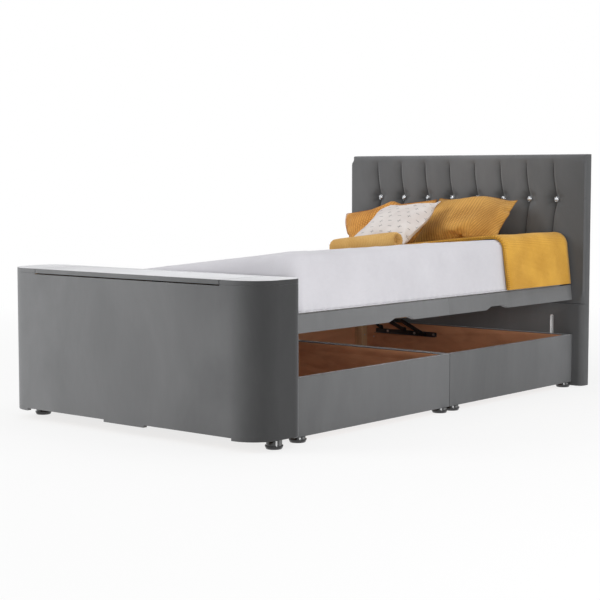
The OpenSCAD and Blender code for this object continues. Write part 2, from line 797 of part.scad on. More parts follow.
function roll_ring(x, r) = [for (i = [0 : roll_n - 1])
    [x, -r * cos(360 * i / roll_n), r * sin(360 * i / roll_n)]];

module roll_cushion() color("#d49a35") on_bed()
    translate([roll_x, roll_y, bed_top + seat_gap + roll_d / 2]) stack(concat(
        [roll_ring(roll_l / 2 * (1 - roll_gather_share), roll_d * roll_gather_share)],
        [for (i = [4 : -1 : 0]) let (s = roll_side_shares[i])
            roll_ring(roll_l / 2 * s[0], roll_d / 2 * s[1])],
        [for (s = roll_side_shares) roll_ring(-roll_l / 2 * s[0], roll_d / 2 * s[1])],
        [roll_ring(-roll_l / 2 * (1 - roll_gather_share), roll_d * roll_gather_share)]));

// The headboard

// Bottom of the headboard and the pads under it
head_low = 3;
// Face of the padding at its fullest, and the panel's front face
panel_face = head_y + pad_t;
// Channel count, depth of the stitched grooves, depth at a button
channels = 8;
groove_d = 13;
dimple_d = 17;
groove_near = 13;
groove_far = 34;
groove_low = 378;
// Height at which the plain padding ends and the channels begin
pad_split = 365;
groove_top_in = 14;
bow = 12;
edge_r = 22;
button_t = 3;
crystal_t = 6;

// Places across the padding: [x, share of groove depth, moves with the bow]
groove_x = [for (i = [0 : channels - 1]) (i - (channels - 1) / 2) * channel_gap];
edge_shares = [[0, 1], [0.12, 0.53], [0.45, 0.165], [1, 0]];
pad_cols = concat(
    [for (e = edge_shares) [-head_w / 2 + edge_r * e[0], 0, 0, e[1]]],
    [for (g = groove_x, d = [[-groove_far, 0.07], [-groove_near, 0.45], [0, 1],
        [groove_near, 0.45], [groove_far, 0.07], [channel_gap / 2, 0]])
        if (!(d[0] == channel_gap / 2 && g == groove_x[channels - 1])) [g + d[0], d[1], 1, 0]],
    [for (i = [3 : -1 : 0]) [head_w / 2 - edge_r * edge_shares[i][0], 0, 0, edge_shares[i][1]]]);
// Places up the padding: [z, share of the grooves, share of the dimples, edge]
pad_rows = concat(
    [[pad_split + seat_gap / 2, 0, 0, 0], [groove_low, 0, 0, 0], [groove_low + 2 * edge_r, 1, 0, 0],
        [(groove_low + button_z) / 2, 1, 0, 0], [button_z - 3 * groove_far, 1, 0, 0],
        [button_z - groove_far, 1, 0.15, 0], [button_z - groove_near, 1, 1, 0],
        [button_z + groove_near, 1, 1, 0], [button_z + groove_far, 1, 0.15, 0],
        [button_z + 3 * groove_far, 1, 0, 0], [head_top - groove_top_in - 2 * edge_r, 1, 0, 0],
        [head_top - edge_r, 0.6, 0, 0]],
    [for (i = [2 : -1 : 0]) [head_top - edge_r * edge_shares[i][0], 0, 0, edge_shares[i][1]]]);

function pad_bow(z) = bow * exp(-pow((z - button_z) / (4 * groove_far), 2));
function pad_depth(c, r) = max(
    max(c[3], r[3]) * (pad_t - over),
    c[1] * groove_d * r[1],
    (c[1] > 0.4 ? 1 : c[1]) * dimple_d * r[2]);

// Plain padding below the channels, with rounded upright edges
module lower_padding() color("#77787a") placed() difference() {
    union() {
        block([-head_w / 2 + edge_r, head_y, head_low], [head_w / 2 - edge_r, panel_face, pad_split]);
        both_sides() {
            block([head_w / 2 - edge_r - lap, head_y + edge_r, head_low],
                [head_w / 2, panel_face, pad_split]);
            translate([head_w / 2 - edge_r, head_y + edge_r, head_low])
                cylinder(r = edge_r, h = pad_split - head_low);
        }
    }
    block([-head_w, panel_face, 0], [head_w, panel_face + 2 * edge_r, head_top]);
    head_slots();
}

module channel_padding() color("#77787a") placed() pad_solid();

module pad_solid() {
    nc = len(pad_cols);
    nr = len(pad_rows);
    last = nc * (nr - 1);
    back = panel_face;
    polyhedron(
        points = concat(
            [for (r = pad_rows, c = pad_cols) [c[0] + c[2] * pad_bow(r[0]), head_y + pad_depth(c, r), r[0]]],
            [[-head_w / 2, back, pad_rows[0][0]], [head_w / 2, back, pad_rows[0][0]],
                [head_w / 2, back, head_top], [-head_w / 2, back, head_top]]),
        faces = concat(
            [for (k = [0 : nr - 2], i = [0 : nc - 2])
                [k * nc + i, (k + 1) * nc + i + 1, k * nc + i + 1]],
            [for (k = [0 : nr - 2], i = [0 : nc - 2])
                [k * nc + i, (k + 1) * nc + i, (k + 1) * nc + i + 1]],
            [for (i = [0 : nc - 2]) [i, i + 1, nc * nr]],
            [[nc - 1, nc * nr + 1, nc * nr]],
            [for (i = [0 : nc - 2]) [last + i + 1, last + i, nc * nr + 3]],
            [[nc * nr + 2, last + nc - 1, nc * nr + 3]],
            [for (k = [0 : nr - 2]) [(k + 1) * nc, k * nc, nc * nr]],
            [[nc * nr + 3, last, nc * nr]],
            [for (k = [0 : nr - 2]) [k * nc + nc - 1, (k + 1) * nc + nc - 1, nc * nr + 1]],
            [[last + nc - 1, nc * nr + 2, nc * nr + 1]],
            [[nc * nr, nc * nr + 1, nc * nr + 2], [nc * nr, nc * nr + 2, nc * nr + 3]]));
}

// The two upright slots that the fixing bolts slide in
module head_slots() both_sides() {
    block([slot_x - slot_w / 2, head_y - over, slot_low],
        [slot_x + slot_w / 2, head_back + over, slot_top - slot_w / 2]);
    bar_y(slot_x, head_y - over, slot_top - slot_w / 2, slot_w / 2, head_back - head_y + 2 * over);
    bar_y(slot_x, head_y - over, slot_low, slot_w / 2, head_back - head_y + 2 * over);
}

module headboard_panel() color("#8a6a4a") placed() difference() {
    block([-head_w / 2, panel_face + run_gap, head_low],
        [head_w / 2, head_back - back_t - run_gap, head_top]);
    head_slots();
}

module headboard_back_cloth() color("#2b2b2d") placed() difference() {
    block([-head_w / 2, head_back - back_t, head_low], [head_w / 2, head_back, head_top]);
    head_slots();
}

// Buttons sit in the dimples, each a metal cup with a cut stone in it
module at_buttons() placed() for (x = groove_x)
    translate([x + pad_bow(button_z), head_y + dimple_d - seat_gap, button_z])
        rotate([90, 0, 0]) children();

module button_cups() color("#b9bcc0") at_buttons() difference() {
    cylinder(r = button_d / 2, h = button_t + button_t);
    translate([0, 0, button_t]) cylinder(r = button_d / 2 - over, h = button_t + over);
}

module button_crystals() color("#dfe6ee") at_buttons() translate([0, 0, button_t + run_gap]) {
    cylinder(r = button_d / 2 - over - run_gap, h = button_t);
    translate([0, 0, button_t - lap])
        cylinder(r1 = button_d / 2 - over - run_gap, r2 = button_d / 4, h = crystal_t, $fn = 12);
}

// Bolts from the back of the headboard into the head wall, with big washers
washer_r = 14;
module headboard_bolts() color("#8d9094") placed()
for (x = [-slot_x, slot_x], z = [head_bolt_low, head_bolt_high]) {
    bar_y(x, base_l - wall_in, z, bolt_r, head_back - base_l + wall_in + lap);
    bar_y(x, head_back, z, washer_r, washer_t);
    bar_y(x, head_back + washer_t - lap, z, head_r, bolt_head_t + lap);
}

module headboard_pads() color("#18181a") placed() both_sides()
    translate([head_w / 2 - 2 * glide_d, panel_face + head_board_t / 2, 0])
        cylinder(r = washer_r, h = head_low - run_gap);

// The foot panel

// Board and skin thickness in the foot panel
panel_board_t = 15;
skin_t = 5;
// Thickness of the top boards with their cloth
top_t = 17;
// Depth of the fixed strip behind the lid
strip_d = 20;
// Gap round the lid, and the shadow gap under its front edge
lid_gap = 3;
lid_shadow = 5;
// Length of the lid
lid_l = foot_w - 2 * lid_end;
// The three feet along the bottom edge: half of the middle one, length of an end one
foot_mid = 104;
foot_end = 120.5;
// Where the panel's inside dividers stand
divider_in = 28;
divider_x = lid_l / 2 + divider_in;

// Plan of the foot panel, drawn in by an inset
module panel_plan(inset) {
    hx = foot_w / 2;
    for (s = [-1, 1]) {
        translate([s * (hx - front_r), -panel_y + front_r]) circle(r = front_r - inset);
        translate([s * (hx - rear_r), -seat_gap - rear_r]) circle(r = rear_r - inset);
    }
    polygon([
        [-hx + inset, -panel_y + front_r], [-hx + front_r, -panel_y + inset],
        [hx - front_r, -panel_y + inset], [hx - inset, -panel_y + front_r],
        [hx - inset, -seat_gap - rear_r], [hx - rear_r, -seat_gap - inset],
        [-hx + rear_r, -seat_gap - inset], [-hx + inset, -seat_gap - rear_r]]);
}

// Cuts the raised stretches between the three feet at the bottom edge
module panel_cuts() both_sides()
    block([foot_mid, -panel_y - over, panel_low - over], [foot_w / 2 - foot_end, over, panel_cut]);

panel_top = foot_top - top_t;

// Lowers the front of the panel below the lid's front edge
module lid_step() block([-lid_l / 2 - lid_gap, -panel_y - over, panel_top - lid_shadow],
    [lid_l / 2 + lid_gap, -panel_y + cover_t + panel_board_t + over, panel_top + over]);

module panel_cover() color("#77787a") placed() difference() {
    translate([0, 0, panel_low]) linear_extrude(panel_top - panel_low - seat_gap) difference() {
        panel_plan(0);
        panel_plan(cover_t);
    }
    panel_cuts();
    lid_step();
    for (x = [-panel_bolt_x, panel_bolt_x], z = [panel_bolt_low, panel_bolt_high])
        bar_y(x, -cover_t - over, z, bolt_r + over, cover_t + 2 * over);
}

// Span of the flat front board and of the flat rear board
front_x = foot_w / 2 - front_r;
rear_x = foot_w / 2 - rear_r;

module panel_front_board() color("#8a6a4a") placed() difference() {
    block([-front_x, -panel_y + cover_t + run_gap, panel_low],
        [front_x, -panel_y + cover_t + panel_board_t, panel_top - seat_gap]);
    panel_cuts();
    lid_step();
}

module panel_rear_board() color("#8a6a4a") placed() difference() {
    block([-rear_x, -seat_gap - cover_t - panel_board_t, panel_low],
        [rear_x, -seat_gap - cover_t - run_gap, panel_top - seat_gap]);
    panel_cuts();
    for (x = [-panel_bolt_x, panel_bolt_x], z = [panel_bolt_low, panel_bolt_high])
        bar_y(x, -cover_t - panel_board_t - over, z, bolt_r + run_gap, panel_board_t + 2 * over);
}

// Bent skins round the two ends, from the front board to the rear board
module panel_end_skins() color("#a9825a") placed() both_sides() difference() {
    translate([0, 0, panel_low]) linear_extrude(panel_top - panel_low - seat_gap) difference() {
        panel_plan(cover_t + run_gap);
        panel_plan(cover_t + skin_t);
        translate([-foot_w, -2 * foot_d]) square([foot_w + front_x + run_gap, 3 * foot_d]);
    }
    block([front_x - over, -seat_gap - cover_t - panel_board_t - run_gap, panel_low - over],
        [rear_x + run_gap, over, panel_top + over]);
}

// Shaped shelves that hold the skins: bottom, middle and top of each end
former_z = [panel_cut, (panel_cut + panel_top) / 2, panel_top - panel_board_t - seat_gap];
module panel_formers() color("#b98a5a") placed() both_sides() difference() {
    for (z = former_z) translate([0, 0, z]) linear_extrude(panel_board_t) difference() {
        panel_plan(cover_t + skin_t + run_gap);
        translate([-foot_w, -2 * foot_d]) square([foot_w + divider_x + panel_board_t + run_gap, 3 * foot_d]);
    }
    block([0, -panel_y - over, 0],
        [front_x + run_gap, -panel_y + cover_t + panel_board_t + run_gap, foot_top]);
    block([0, -seat_gap - cover_t - panel_board_t - run_gap, 0], [rear_x + run_gap, over, foot_top]);
}

// Inner faces of the front and rear boards
in_front = -panel_y + cover_t + panel_board_t + run_gap;
in_rear = -seat_gap - cover_t - panel_board_t - run_gap;

module panel_floor() color("#b98a5a") placed()
    block([-divider_x + run_gap, in_front, panel_cut],
        [divider_x - run_gap, in_rear, panel_cut + panel_board_t]);

module panel_dividers() color("#b98a5a") placed() both_sides()
    block([divider_x, in_front, panel_cut], [divider_x + panel_board_t, in_rear, panel_top - seat_gap]);

// The lid's outline in plan
lid_rear = -seat_gap - strip_d;
module lid_plan(inset) translate([-lid_l / 2 + inset, -panel_y + inset])
    square([lid_l - 2 * inset, lid_rear + panel_y - lid_gap - 2 * inset]);
module lid_opening() translate([-lid_l / 2 - lid_gap, -panel_y - over])
    square([lid_l + 2 * lid_gap, lid_rear + panel_y + over]);

module panel_top_board() color("#8a6a4a") placed() translate([0, 0, panel_top])
    linear_extrude(top_t - cover_t - run_gap) difference() {
        panel_plan(cover_t + run_gap);
        offset_opening();
    }

// The lid opening with room for the cloth round its edges
module offset_opening() translate([-lid_l / 2 - lid_gap - cover_t, -panel_y - over])
    square([lid_l + 2 * lid_gap + 2 * cover_t, lid_rear + panel_y + over + cover_t]);

module panel_top_cover() color("#8b8c8e") placed() difference() {
    translate([0, 0, panel_top]) linear_extrude(top_t) difference() {
        panel_plan(0);
        lid_opening();
    }
    translate([0, 0, panel_top - over]) linear_extrude(top_t - cover_t + over) difference() {
        panel_plan(cover_t);
        translate([-lid_l / 2 - lid_gap - cover_t + run_gap, -panel_y - over])
            square([lid_l + 2 * lid_gap + 2 * cover_t - 2 * run_gap,
                lid_rear + panel_y + over + cover_t - run_gap]);
    }
}

module panel_bolts() color("#8d9094") placed()
for (x = [-panel_bolt_x, panel_bolt_x], z = [panel_bolt_low, panel_bolt_high]) {
    bar_y(x, -seat_gap - cover_t - panel_board_t, z, bolt_r,
        wall_in + cover_t + panel_board_t + 2 * seat_gap + lap);
    bar_y(x, wall_in + seat_gap, z, head_r, bolt_head_t);
}

module lid_board() color("#8a6a4a") placed() translate([0, 0, panel_top + run_gap])
    linear_extrude(top_t - cover_t - 2 * run_gap) lid_plan(cover_t + run_gap);

module lid_cover() color("#8b8c8e") placed() difference() {
    translate([0, 0, panel_top + run_gap]) linear_extrude(top_t - run_gap) lid_plan(0);
    translate([0, 0, panel_top - over]) linear_extrude(top_t - cover_t + over) lid_plan(cover_t);
}

// The screen lift

// Outer tube section and the wall of every tube
tube_x = 70;
tube_y = 46;
tube_wall = 3;
slide_gap = 0.3;
// Tube lengths
outer_l = 468;
tube_gap = 4;
// Height of the lift's foot plate and middle of the tubes along the bed
lift_low = panel_cut + panel_board_t;
lift_y = in_rear - steel_t - seat_gap - tube_y / 2;
foot_plate_x = 240;
foot_plate_y = 50;
foot_plate_z = 90;

module hollow(x, y, low, high) difference() {
    translate([-x / 2, lift_y - y / 2, low]) cube([x, y, high - low]);
    translate([-x / 2 + tube_wall, lift_y - y / 2 + tube_wall, low - over])
        cube([x - 2 * tube_wall, y - 2 * tube_wall, high - low + 2 * over]);
}

inner_step = 2 * (tube_wall + slide_gap);

module lift_foot() color("#1b1b1d") placed() {
    block([-foot_plate_x / 2, in_rear - seat_gap - foot_plate_y, lift_low + seat_gap],
        [foot_plate_x / 2, in_rear - seat_gap, lift_low + seat_gap + steel_t]);
    block([-foot_plate_x / 2, in_rear - seat_gap - steel_t, lift_low + seat_gap + steel_t - lap],
        [foot_plate_x / 2, in_rear - seat_gap, lift_low + foot_plate_z]);
}

column_low = lift_low + seat_gap + steel_t + run_gap;

module lift_outer_tube() color("#4a4c50") placed() hollow(tube_x, tube_y, column_low, column_low + outer_l);

module lift_middle_tube() color("#5d6065") placed() hollow(tube_x - inner_step, tube_y - inner_step,
    column_low + tube_gap, column_low + outer_l + tube_gap);

module lift_inner_tube() color("#70737a") placed() hollow(tube_x - 2 * inner_step, tube_y - 2 * inner_step,
    column_low + 2 * tube_gap, column_low + outer_l + 2 * tube_gap);

// The motor stands beside the outer tube and drives it through a gear case
motor_r = 22;
motor_l = 150;
gear_x = 60;
gear_z = 44;
module lift_motor() color("#2b2d30") placed() {
    block([tube_x / 2 + run_gap, lift_y - tube_y / 2, column_low],
        [tube_x / 2 + gear_x, lift_y + tube_y / 2 - seat_gap - steel_t, column_low + gear_z]);
    translate([tube_x / 2 + gear_x / 2, lift_y - seat_gap, column_low + gear_z - lap])
        cylinder(r = motor_r - over, h = motor_l);
}

// The carriage sits on the inner tube, hangs in front of the column and
// carries the lid on its top
carriage_z = column_low + outer_l + 2 * tube_gap + run_gap;
carriage_top = panel_top - seat_gap;
strap_w = 60;
strap_y = lift_y - tube_y / 2 - tube_gap / 2;
screen_z = 330;
screen_plate_w = 240;
carrier_x = 360;
carrier_w = 40;
module lift_carriage() color("#3a3b3e") placed() {
    block([-strap_w / 2, strap_y - steel_t, carriage_z],
        [strap_w / 2, lift_y + tube_y / 4, carriage_z + steel_t]);
    block([-strap_w / 2, strap_y - steel_t, screen_z - screen_plate_w / 2],
        [strap_w / 2, strap_y, carriage_z + steel_t]);
    block([-strap_w / 2, strap_y - steel_t, carriage_z + steel_t - lap],
        [strap_w / 2, strap_y, carriage_top]);
    block([-carrier_x, strap_y - carrier_w, carriage_top - steel_t], [carrier_x, strap_y, carriage_top]);
}

screen_hole_r = 3.2;
module screen_plate() color("#1b1b1d") placed() difference() {
    block([-screen_plate_w / 2, strap_y - 2 * steel_t - run_gap, screen_z - screen_plate_w / 2],
        [screen_plate_w / 2, strap_y - steel_t - run_gap, screen_z + screen_plate_w / 2]);
    for (x = [-screen_holes / 2, screen_holes / 2], z = [-screen_holes / 2, screen_holes / 2])
        bar_y(x, strap_y - 3 * steel_t, screen_z + z, screen_hole_r, 3 * steel_t);
}

box_x = 120;
box_z = 70;
box_y = 36;
box_at = -380;
module control_box() color("#202124") placed()
    block([box_at, in_rear - seat_gap - box_y, lift_low + 2 * box_z],
        [box_at + box_x, in_rear - seat_gap, lift_low + 3 * box_z]);

// Each piece is drawn by its own name
base_side_boards();
base_end_boards();
base_floor_panels();
corner_battens();
foot_half_cover();
head_half_cover();
joining_bolts();
glide_domes();
glide_rims();
platform_side_rails();
platform_end_rails();
platform_slats();
platform_decks();
foot_deck_cover();
head_deck_cover();
deck_bolts();
platform_brackets();
platform_pins();
base_rails();
rail_bolts();
base_pins();
main_arms();
guide_arms();
strut_tubes();
strut_rods();
mattress();
fitted_sheet();
throw();
roll_cushion();
far_cushion();
patterned_cushion();
near_cushion();
headboard_panel();
lower_padding();
channel_padding();
headboard_back_cloth();
button_cups();
button_crystals();
headboard_bolts();
headboard_pads();
panel_front_board();
panel_rear_board();
panel_end_skins();
panel_formers();
panel_floor();
panel_dividers();
panel_cover();
panel_top_board();
panel_top_cover();
panel_bolts();
lid_board();
lid_cover();
lift_foot();
lift_outer_tube();
lift_middle_tube();
lift_inner_tube();
lift_motor();
lift_carriage();
screen_plate();
control_box();
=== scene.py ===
import json
import math

import bmesh
import bpy
from mathutils import Matrix, Vector, noise

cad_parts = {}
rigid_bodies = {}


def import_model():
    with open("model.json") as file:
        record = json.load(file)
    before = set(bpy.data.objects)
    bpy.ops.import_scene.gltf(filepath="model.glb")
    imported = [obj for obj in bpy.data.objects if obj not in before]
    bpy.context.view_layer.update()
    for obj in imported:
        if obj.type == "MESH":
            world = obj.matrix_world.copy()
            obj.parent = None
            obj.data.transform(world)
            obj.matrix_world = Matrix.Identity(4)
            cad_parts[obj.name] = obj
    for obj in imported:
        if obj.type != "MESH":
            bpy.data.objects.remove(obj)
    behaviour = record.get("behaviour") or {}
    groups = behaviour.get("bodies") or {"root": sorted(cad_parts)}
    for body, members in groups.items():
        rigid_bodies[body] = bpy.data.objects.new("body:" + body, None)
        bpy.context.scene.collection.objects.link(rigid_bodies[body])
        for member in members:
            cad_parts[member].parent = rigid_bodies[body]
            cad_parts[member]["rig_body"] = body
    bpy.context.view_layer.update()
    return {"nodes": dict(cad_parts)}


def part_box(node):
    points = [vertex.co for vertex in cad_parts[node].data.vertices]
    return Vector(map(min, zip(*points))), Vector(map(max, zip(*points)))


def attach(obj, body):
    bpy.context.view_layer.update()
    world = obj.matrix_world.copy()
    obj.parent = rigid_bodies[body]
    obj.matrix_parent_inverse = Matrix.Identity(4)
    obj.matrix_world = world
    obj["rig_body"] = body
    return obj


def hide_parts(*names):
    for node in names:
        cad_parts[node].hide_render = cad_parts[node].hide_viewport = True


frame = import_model()


# The storage base: two open boxes side by side along the bed, each of four
# walls and a thin floor, cut from chipboard with a brown printed face. The
# cut edges are square with a small break, and the faces carry rubbed marks.

def feed(tree, node, inputs):
    """Fills a node's inputs, which take values or sockets."""
    for key, value in (inputs or {}).items():
        if isinstance(value, bpy.types.NodeSocket):
            tree.links.new(value, node.inputs[key])
        else:
            node.inputs[key].default_value = value
    return node


def add(tree, kind, inputs=None, **settings):
    """A new shader node with its settings and its inputs."""
    node = tree.nodes.new("ShaderNode" + kind)
    for key, value in settings.items():
        setattr(node, key, value)
    return feed(tree, node, inputs)


def calc(tree, kind, *values):
    """The result of a maths node."""
    return add(tree, "Math", dict(enumerate(values)), operation=kind).outputs[0]


def ranged(tree, value, low, high, to_low=0.0, to_high=1.0):
    """A value brought from one range to another, and held inside it."""
    return add(tree, "MapRange", {0: value, 1: low, 2: high, 3: to_low, 4: to_high}).outputs[0]


def mottle(tree, where, scale, detail, **more):
    """Noise over a place, from 0 to 1."""
    inputs = {"Vector": where, "Scale": scale, "Detail": detail, **more}
    return add(tree, "TexNoise", inputs).outputs["Fac"]


def stretched(tree, where, by):
    """A place multiplied by a number for each axis."""
    return add(tree, "VectorMath", {0: where, 1: by}, operation="MULTIPLY").outputs[0]


def times(tree, whole, factor):
    """A place or a colour multiplied by one factor."""
    node = add(tree, "VectorMath", {0: whole}, operation="SCALE")
    tree.links.new(factor, node.inputs["Scale"])
    return node.outputs[0]


def mixed(tree, factor, first, second, **settings):
    """Two colours mixed by a factor. Each is a colour or a socket."""
    inputs = {0: factor, 6: first, 7: second}
    return add(tree, "Mix", inputs, data_type="RGBA", **settings).outputs[2]


def object_space(tree):
    """The place on a piece along its own axes, in metres."""
    return add(tree, "TexCoord").outputs["Object"]


def new_group(name, inputs, outputs):
    """A shader node group with named sockets. Returns its tree, its input node and a
    function that ties a socket of the tree to a named output."""
    tree = bpy.data.node_groups.new(name, "ShaderNodeTree")
    for label, kind, value in inputs:
        socket = tree.interface.new_socket(label, in_out="INPUT", socket_type="NodeSocket" + kind)
        if value is not None:
            socket.default_value = value
    for label, kind in outputs:
        tree.interface.new_socket(label, in_out="OUTPUT", socket_type="NodeSocket" + kind)
    given = tree.nodes.new("NodeGroupInput")
    result = tree.nodes.new("NodeGroupOutput")

    def tie(label, socket):
        tree.links.new(socket, result.inputs[label])

    return tree, given, tie


def place(tree, group, inputs=None):
    """Puts a node group into a material's tree."""
    return add(tree, "Group", inputs, node_tree=group)


def new_material(name, **plain):
    """A material with a Principled shader and its plain values. Returns both and the tree."""
    material = bpy.data.materials.new(name)
    material.use_nodes = True
    tree = material.node_tree
    shader = tree.nodes["Principled BSDF"]
    for key, value in plain.items():
        shader.inputs[key.replace("_", " ")].default_value = value
    return material, tree, shader


def link_in(tree, shader, **sockets):
    """Ties sockets to a shader. An underscore stands for a space in the names of its inputs."""
    for key, socket in sockets.items():
        tree.links.new(socket, shader.inputs[key.replace("_", " ")])


def colour_between(tree, factor, low, high):
    """A colour that runs from low to high with a factor."""
    return mixed(tree, factor, (*low, 1), (*high, 1))


def bump_of(tree, height, distance, strength=1.0):
    """The normal of a Bump node over a height."""
    bump = add(tree, "Bump", {"Height": height, "Distance": distance, "Strength": strength})
    return bump.outputs["Normal"]


def streaks_group():
    """Figure that runs along one direction, as grain, board print or brush marks do."""
    tree, given, tie = new_group("streaks", [
        ("Stretch", "Vector", (40, 40, 2)), ("Turbulence", "Float", 0.4)],
        [("Figure", "Float"), ("Fleck", "Float")])
    spread = stretched(tree, object_space(tree), given.outputs["Stretch"])
    broad = mottle(tree, spread, 1.0, 5.0, Distortion=given.outputs["Turbulence"])
    tie("Figure", ranged(tree, broad, 0.3, 0.7))
    tie("Fleck", ranged(tree, mottle(tree, spread, 7.0, 3.0), 0.35, 0.65))
    return tree


def wear_group():
    """Handling marks: cloudy dust and rub that gather toward the edges of a piece."""
    tree, given, tie = new_group("wear", [("Size", "Float", 6.0), ("Amount", "Float", 0.5)],
                                 [("Rub", "Float"), ("Edge", "Float")])
    cloud = mottle(tree, object_space(tree), given.outputs["Size"], 6.0, Roughness=0.65)
    tie("Rub", calc(tree, "MULTIPLY", ranged(tree, cloud, 0.45, 0.75), given.outputs["Amount"]))
    point = add(tree, "NewGeometry").outputs["Pointiness"]
    tie("Edge", calc(tree, "MULTIPLY", ranged(tree, point, 0.52, 0.62), cloud))
    return tree


streaks = streaks_group()
wear = wear_group()


def board_material(name, dark, light, rough, stretch):
    """Wood or printed board with its figure along one direction."""
    material, tree, shader = new_material(name)
    grain = place(tree, streaks, {"Stretch": stretch, "Turbulence": 0.5})
    marks = place(tree, wear, {"Size": 5.0, "Amount": 0.5})
    fleck = grain.outputs["Fleck"]
    base = colour_between(tree, grain.outputs["Figure"], dark, light)
    rubbed = mixed(tree, marks.outputs["Rub"], base, (0.82, 0.8, 0.78, 1), blend_type="MULTIPLY")
    pale = (*[min(1, c * 1.5) for c in light], 1)
    link_in(tree, shader, Base_Color=mixed(tree, marks.outputs["Edge"], rubbed, pale),
            Roughness=ranged(tree, fleck, 0.0, 1.0, rough - 0.07, rough + 0.07),
            Normal=bump_of(tree, fleck, 0.0002))
    return material


def settle(piece, node):
    """Ties a new piece to the body of the CAD node that it stands for, and hides the node."""
    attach(piece, frame["nodes"][node]["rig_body"])
    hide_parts(node)
    return piece


def shown(name, mesh, material):
    """A new object in the scene, smooth over its shallow angles."""
    mesh.polygons.foreach_set("use_smooth", [True] * len(mesh.polygons))
    mesh.set_sharp_from_angle(angle=math.radians(40))
    mesh.materials.clear()
    mesh.materials.append(material)
    piece = bpy.data.objects.new(name, mesh)
    bpy.context.scene.collection.objects.link(piece)
    return piece


def built(name, form, material, place_at=None):
    """A new object in the scene from a bmesh, put in its place."""
    if place_at is not None:
        form.transform(place_at)
    mesh = bpy.data.meshes.new(name)
    form.to_mesh(mesh)
    form.free()
    return shown(name, mesh, material)


def eased(name, node, radius, material, steps=2, sharp=35):
    """A copy of a CAD node with its sharp edges rounded to a radius, in place of the node."""
    form = bmesh.new()
    form.from_mesh(frame["nodes"][node].data)
    bmesh.ops.remove_doubles(form, verts=form.verts, dist=0.00002)
    bmesh.ops.dissolve_limit(form, angle_limit=math.radians(0.5), verts=form.verts,
                             edges=form.edges)
    hard = [e for e in form.edges if e.is_manifold and e.calc_face_angle(0) > math.radians(sharp)]
    bmesh.ops.bevel(form, geom=hard, offset=radius, offset_type="OFFSET", segments=steps,
                    profile=0.5, affect="EDGES", clamp_overlap=True)
    return settle(built(name, form, material), node)


def eased_all(names, radius, material, **how):
    """Rounded copies of several nodes of one finish: pairs of a new name and a node."""
    for name, node in names:
        eased(name, node, radius, material, **how)


wall_board = board_material("brown_faced_board", (0.52, 0.235, 0.125), (0.7, 0.345, 0.19), 0.5,
                            (9, 3, 30))
cut_edge = 0.0006
eased_all([("side_walls", "base_side_boards"), ("end_walls", "base_end_boards"),
           ("box_floors", "base_floor_panels")], cut_edge, wall_board)


# The corner battens: planed softwood, 44 mm square, glued and screwed upright
# into the corners of each box. The grain runs up them, and the four at the
# bed's corners each show two countersunk screws on their inner face.

softwood_shades = (0.42, 0.25, 0.12), (0.62, 0.43, 0.25)
softwood_rough = 0.6
softwood_up = board_material("softwood_upright", *softwood_shades, softwood_rough, (60, 60, 5))
eased("box_corner_battens", "corner_battens", 0.0018, softwood_up)


def metal_material(name, colour, rough, spread=0.08, metallic=1.0):
    """Bare, plated or painted metal: fine haze in its gloss and rubbed edges."""
    material, tree, shader = new_material(name, Metallic=metallic)
    marks = place(tree, wear, {"Size": 30.0, "Amount": 1.0})
    haze = mottle(tree, object_space(tree), 220.0, 4.0)
    base = colour_between(tree, marks.outputs["Rub"], colour, [c * 0.8 for c in colour])
    bare = (*[min(1, c * 1.3 + 0.02) for c in colour], 1)
    link_in(tree, shader, Base_Color=mixed(tree, marks.outputs["Edge"], base, bare),
            Roughness=ranged(tree, haze, 0.3, 0.7, rough - spread, rough + spread),
            Normal=bump_of(tree, haze, 0.00004))
    return material


def circle(radius, sides, turn=0.0):
    """Points of a circle, as pairs, from a share of one step on."""
    angles = [2 * math.pi * (i + turn) / sides for i in range(sides)]
    return [(radius * math.cos(a), radius * math.sin(a)) for a in angles]


def band(form, low, high, closed=True):
    """Faces between two rows of as many corners."""
    for i in range(len(low) if closed else len(low) - 1):
        j = (i + 1) % len(low)
        form.faces.new((low[i], low[j], high[j], high[i]))


def turned(name, rings, sides, material, at, along):
    """A turned piece from rings of (height, radius), standing at a point along an axis."""
    turn = Vector(along).normalized().to_track_quat("Z", "Y").to_matrix().to_4x4()
    form = bmesh.new()
    rows = [[form.verts.new((x, y, height)) for x, y in circle(radius, sides)]
            for height, radius in rings]
    for low, high in zip(rows, rows[1:]):
        band(form, low, high)
    form.faces.new(list(reversed(rows[0])))
    form.faces.new(rows[-1])
    return built(name, form, material, Matrix.Translation(Vector(at)) @ turn)


def joined(name, parts):
    """Several meshes of one finish as a single piece."""
    form = bmesh.new()
    for part in parts:
        form.from_mesh(part.data)
    material = parts[0].data.materials[0]
    for part in parts:
        bpy.data.objects.remove(part)
    return built(name, form, material)


zinc = metal_material("zinc_plate", (0.5, 0.51, 0.53), 0.34)
screw_head = 0.0042
screw_heights = (0.3, 0.75)
batten_w = 0.044


def batten_screws():
    """Countersunk screw heads on the inner faces of the battens at the bed's four corners."""
    low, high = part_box("corner_battens")
    rings = [(-0.0002, screw_head), (0.0004, screw_head * 0.92), (0.0001, screw_head * 0.4)]
    rows = [turned("screw", rings, 16, zinc,
                   (sx * (high.x - batten_w), y, low.z + z * (high.z - low.z)), (-sx, 0, 0))
            for sx in (-1, 1)
            for y in (low.y + batten_w / 2, high.y - batten_w / 2)
            for z in screw_heights]
    return joined("batten_screws", rows)


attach(batten_screws(), "base")


# The velvet that covers the whole bed: a short, dense polyester pile in mid
# grey on a knitted backing. It is stapled over each box with its edges turned
# in, and brushed marks show as slightly lighter and darker clouds.

